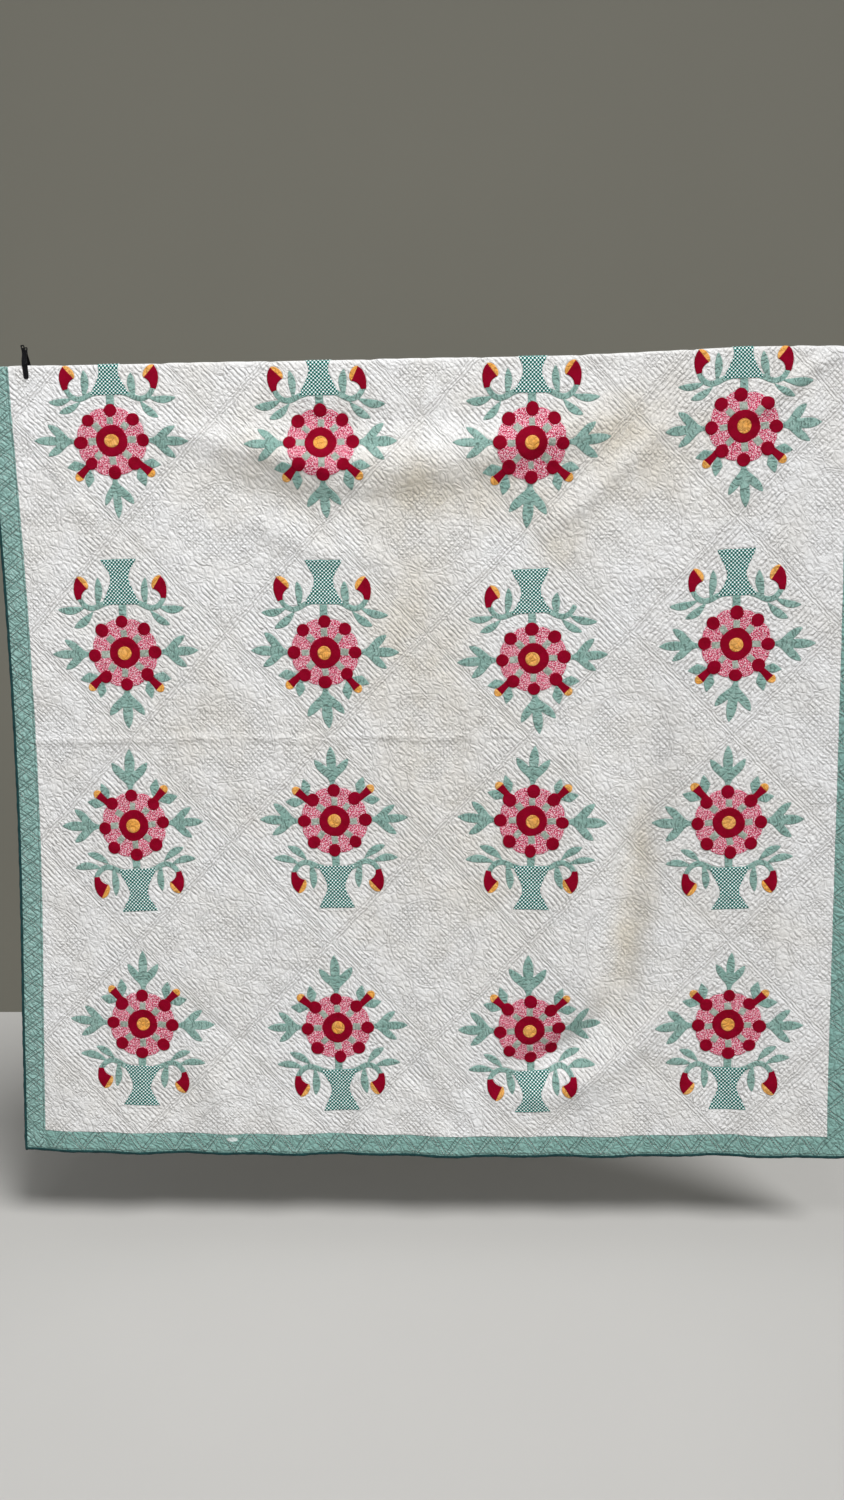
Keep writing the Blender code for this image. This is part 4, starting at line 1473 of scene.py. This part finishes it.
def lay_stitches(name, places, runs, surface, seed):
    """One piece with a real stitch at every place."""
    across, down = places.T
    here = surface(across, down)
    ahead = surface(across + runs[:, 0] * 0.001, down + runs[:, 1] * 0.001) - here
    sideways = surface(across + 0.001, down) - here
    downwards = surface(across, down + 0.001) - here
    away = np.cross(downwards, sideways)
    away = away / np.linalg.norm(away, axis=1)[:, None]
    base = bpy.data.meshes.new(name)
    base.from_pydata((here + away * 0.0001).tolist(), [], [])
    for label, vectors in (("run", ahead), ("away", away)):
        base.attributes.new(label, "FLOAT_VECTOR", "POINT").data.foreach_set("vector", vectors.ravel())
    marked = placed(name + "_places", base)
    sewing = marked.modifiers.new("Stitches", "NODES")
    sewing.node_group = running_stitches
    values = {"Stitch": stitch, "Thread": white_thread, "Unevenness": 0.18, "Seed": seed}
    for entry in running_stitches.interface.items_tree:
        if entry.in_out == "INPUT" and entry.name in values:
            sewing[entry.identifier] = values[entry.name]
    bpy.context.view_layer.update()
    graph = bpy.context.evaluated_depsgraph_get()
    data = bpy.data.meshes.new_from_object(marked.evaluated_get(graph))
    data.name = name
    piece = placed(name, data)
    bpy.data.objects.remove(marked)
    print(name, len(places), "stitches", sum(len(p.vertices) - 2 for p in data.polygons), "triangles")
    return piece


# %% Lines of stitches
FIELD_REACH = 1.963  # from the middle of the field to its lower edge, in blocks


def on_lines(lines):
    """The places and the directions on all these lines, each given by its two ends."""
    return (np.vstack(part) for part in zip(*(on_line(*ends) for ends in lines), strict=True))


def seam_stitches():
    """Both rows beside every block seam, kept off the applique."""
    lines = []
    reach = HALF_WIDTH / PITCH_ACROSS
    for slope in (1, -1):
        for k in range(-4, 5):
            for side in (-SEAM_ROW, SEAM_ROW):
                # On this line q = slope * p + offset, and both p and q are kept inside the field.
                offset = k + 0.5 + side / SEAM_STEP
                edges_met = sorted(((-FIELD_REACH - offset) * slope, (FIELD_REACH - offset) * slope))
                low, high = max(-reach, edges_met[0]), min(reach, edges_met[1])
                if high - low > 0.05:
                    lines.append([(p * PITCH_ACROSS, MIDDLE + (slope * p + offset) * PITCH_DOWN) for p in (low, high)])
    places, runs = on_lines(lines)
    clear = np.array([outline_tree.find((a, b, 0))[2] for a, b in places]) > 0.004
    return places[clear], runs[clear]


def border_stitches():
    """Both rows of each zigzag, along all four strips."""
    strips = (
        (lambda s, w: (-HALF_WIDTH - w, s), TOP, BOTTOM),
        (lambda s, w: (HALF_WIDTH + w, s), TOP, BOTTOM),
        (lambda s, w: (s, BOTTOM + w), -HALF_WIDTH, HALF_WIDTH),
        (lambda s, w: (s, TOP - w), -HALF_WIDTH, HALF_WIDTH),
    )
    lines = []
    shift = ROW_GAP / ZIGZAG_LEAN / ZIGZAG_SLOPE
    for at, low, high in strips:
        for k in range(math.ceil(low / ZIGZAG), math.floor(high / ZIGZAG)):
            widths = (0.0, BORDER) if k % 2 == 0 else (BORDER, 0.0)
            for side in (-shift, shift):
                lines.append([at((k + j) * ZIGZAG + side, widths[j]) for j in (0, 1)])
    places, runs = on_lines(lines)
    across, down = places.T
    inside = (np.abs(across) < OUTER_X - 0.003) & (down > OUTER_TOP + 0.003) & (down < OUTER_BOTTOM - 0.003)
    return places[inside], runs[inside]


stitch_lines = [
    lay_stitches("seam_stitches", *seam_stitches(), top_surface, 3),
    lay_stitches("border_stitches", *border_stitches(), border_surface, 5),
]
bpy.data.objects.remove(stitch)

# %% [markdown]
# ## The clip
#
# A small blackened steel clip pins the fold to the line near the left end. Its two arms are pressed strips, kept
# from the solids. The coil between them is wound here from round wire.

# %% Clip coil
CLIP_ACROSS = -0.932
CLIP_RISE = 0.0073
CLIP_LEAN = math.radians(5)
PIN_HEIGHT = 0.030
COIL_RADIUS = 0.0024
COIL_WIRE = 0.0006
COIL_LENGTH = 0.0098


def wire_tube(name, path, radius, sides=10):
    """A closed wire along a path, placed with the clip."""
    path = np.array(path, float)
    run = np.gradient(path, axis=0)
    run = run / np.linalg.norm(run, axis=1)[:, None]
    first = np.cross(run, (1.0, 0.13, 0.09))
    first = first / np.linalg.norm(first, axis=1)[:, None]
    second = np.cross(run, first)
    turn = np.linspace(0, 2 * math.pi, sides, endpoint=False)
    ring = first[:, None] * np.cos(turn)[None, :, None] + second[:, None] * np.sin(turn)[None, :, None]
    points = (path[:, None] + radius * ring).reshape(-1, 3)
    faces = []
    for k in range(len(path) - 1):
        low, high = k * sides, (k + 1) * sides
        faces += [(low + j, low + (j + 1) % sides, high + (j + 1) % sides, high + j) for j in range(sides)]
    last = (len(path) - 1) * sides
    faces += [tuple(range(sides))[::-1], tuple(last + j for j in range(sides))]
    seat = Matrix.Translation((CLIP_ACROSS, 0, CLIP_RISE)) @ Matrix.Rotation(-CLIP_LEAN, 4, "Y")
    seat = np.array(seat)
    points = points @ seat[:3, :3].T + seat[:3, 3]
    return new_piece(name, points.tolist(), faces)


turn = np.linspace(0, 2 * math.pi * 7, 7 * 20 + 1)
coil_path = np.stack(
    [
        -COIL_LENGTH / 2 + COIL_LENGTH * turn / turn[-1],
        COIL_RADIUS * np.cos(turn),
        PIN_HEIGHT + COIL_RADIUS * np.sin(turn),
    ],
    -1,
)
coil = wire_tube("clip_coil", coil_path, COIL_WIRE)
pin_path = np.stack([np.linspace(-0.0055, 0.0055, 8), np.zeros(8), np.full(8, PIN_HEIGHT)], -1)
pin = wire_tube("clip_pin", pin_path, 0.0012, 14)

steel, tree, shader = new_material("blackened_steel")
place = node(tree, "ShaderNodeTexCoord", 3)
grain = node(tree, "ShaderNodeTexNoise", Vector=place, Scale=420.0, Detail=4.0, Roughness=0.65)
scuff = node(tree, "ShaderNodeTexNoise", Vector=place, Scale=2200.0, Detail=2.0)
worn = grain.ramp(0.60, 0.74)
shade = blended(tree, worn, (0.018, 0.018, 0.020), (0.16, 0.155, 0.15))
tree.links.new(shade.socket, shader.inputs["Base Color"])
shader.inputs["Metallic"].default_value = 0.9
tree.links.new(scuff.ramp(0.3, 0.7, 0.28, 0.46).socket, shader.inputs["Roughness"])
bump = node(tree, "ShaderNodeBump", Strength=0.4, Distance=0.00005, Height=scuff)
tree.links.new(bump.socket, shader.inputs["Normal"])
for name in ("clip_jaw_front", "clip_jaw_back"):
    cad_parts[name].material_slots[0].material = steel
for piece in (coil, pin):
    piece.data.materials.append(steel)

# %% [markdown]
# ## What each piece stands for
#
# Every cloth hides the plain solid it lies on and rides on the one body of the model.

# %% Ties to the frame
everything = [quilt_top, back, *borders, *bindings, *applique.values(), *stitch_lines, coil, pin]
for piece in everything:
    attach(piece, "root")
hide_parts("quilt_ground")
for strip, name in zip(borders, ("left", "right", "bottom", "top"), strict=True):
    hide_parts("border_" + name)
for strip, name in zip(bindings, ("left", "right", "bottom", "top"), strict=True):
    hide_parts("binding_" + name)
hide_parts("clip_spring")

# %% [markdown]
# ## Floor, light and camera
#
# A pale floor, a plain wall, soft light that falls from above and from the right so that the folds and the quilting
# show, and a camera at standing height that looks slightly down.

# %% Stage
def stage_material(name, colour):
    material, tree, shader = new_material(name)
    place = node(tree, "ShaderNodeTexCoord", 3)
    cloud = node(tree, "ShaderNodeTexNoise", Vector=place, Scale=1.5, Detail=2.0)
    paler = tuple(min(1.0, 1.06 * channel) for channel in colour)
    shade = blended(tree, cloud, colour, paler)
    tree.links.new(shade.socket, shader.inputs["Base Color"])
    shader.inputs["Roughness"].default_value = 0.9
    return material


def stage_sheet(name, corners, material):
    piece = new_piece(name, corners, [(0, 1, 2, 3)], smooth=False)
    piece.data.materials.append(material)
    return piece


FLOOR = -2.10
ROOM = 8
WALL = 1.6
WALL_TOP = 6
floor_corners = [(-ROOM, -ROOM, FLOOR), (ROOM, -ROOM, FLOOR), (ROOM, ROOM, FLOOR), (-ROOM, ROOM, FLOOR)]
wall_corners = [(-ROOM, WALL, FLOOR), (ROOM, WALL, FLOOR), (ROOM, WALL, WALL_TOP), (-ROOM, WALL, WALL_TOP)]
floor = stage_sheet("floor", floor_corners, stage_material("pale_floor", (0.52, 0.51, 0.49)))
wall = stage_sheet("wall", wall_corners, stage_material("grey_wall", (0.185, 0.178, 0.145)))


def clear_from_behind(material):
    """Let the wall vanish for whoever stands behind it, so that the back of the quilt can be seen."""
    tree = material.node_tree
    output = next(part for part in tree.nodes if part.type == "OUTPUT_MATERIAL")
    solid = output.inputs["Surface"].links[0].from_socket
    side = tree.nodes.new("ShaderNodeNewGeometry")
    clear = tree.nodes.new("ShaderNodeBsdfTransparent")
    either = tree.nodes.new("ShaderNodeMixShader")
    tree.links.new(side.outputs["Backfacing"], either.inputs[0])
    tree.links.new(solid, either.inputs[1])
    tree.links.new(clear.outputs[0], either.inputs[2])
    tree.links.new(either.outputs[0], output.inputs["Surface"])


clear_from_behind(wall.data.materials[0])


def lamp(name, kind, energy, place, heading):
    """A light at a place, shining along its heading."""
    light = bpy.data.lights.new(name, kind)
    light.energy = energy
    holder = placed(name, light)
    holder.location = place
    holder.rotation_euler = heading.to_track_quat("-Z", "Y").to_euler()
    return light


sky = lamp("sky", "SUN", 2.40, (0, 0, 0), Vector((-0.42, 0.50, -0.95)))
sky.angle = math.radians(24)
HIGH_PLACE = Vector((-0.20, -2.0, 1.35))
high = lamp("high", "AREA", 24, HIGH_PLACE, Vector((-0.05, 0.0, -0.6)) - HIGH_PLACE)
high.shape = "RECTANGLE"
high.size, high.size_y = 1.8, 0.9
world = bpy.data.worlds.new("soft_room")
world.use_nodes = True
world.node_tree.nodes["Background"].inputs["Color"].default_value = (0.93, 0.96, 1.0, 1)
world.node_tree.nodes["Background"].inputs["Strength"].default_value = 0.30
bpy.context.scene.world = world
bpy.context.scene.view_settings.view_transform = "Standard"

CAMERA_PLACE = (0.068, -2.577, -0.648)
CAMERA_TURNS = ((0.0328, "Z"), (-0.0969, "X"), (0.0106, "Y"), (math.pi / 2, "X"))
lens = bpy.data.cameras.new("camera")
lens.sensor_fit = "VERTICAL"
lens.sensor_height = 36
lens.lens = 26.0
camera = placed("camera", lens)
heading = Matrix.Translation(CAMERA_PLACE)
for angle, axis in CAMERA_TURNS:
    heading = heading @ Matrix.Rotation(angle, 4, axis)
camera.matrix_world = heading
bpy.context.scene.camera = camera
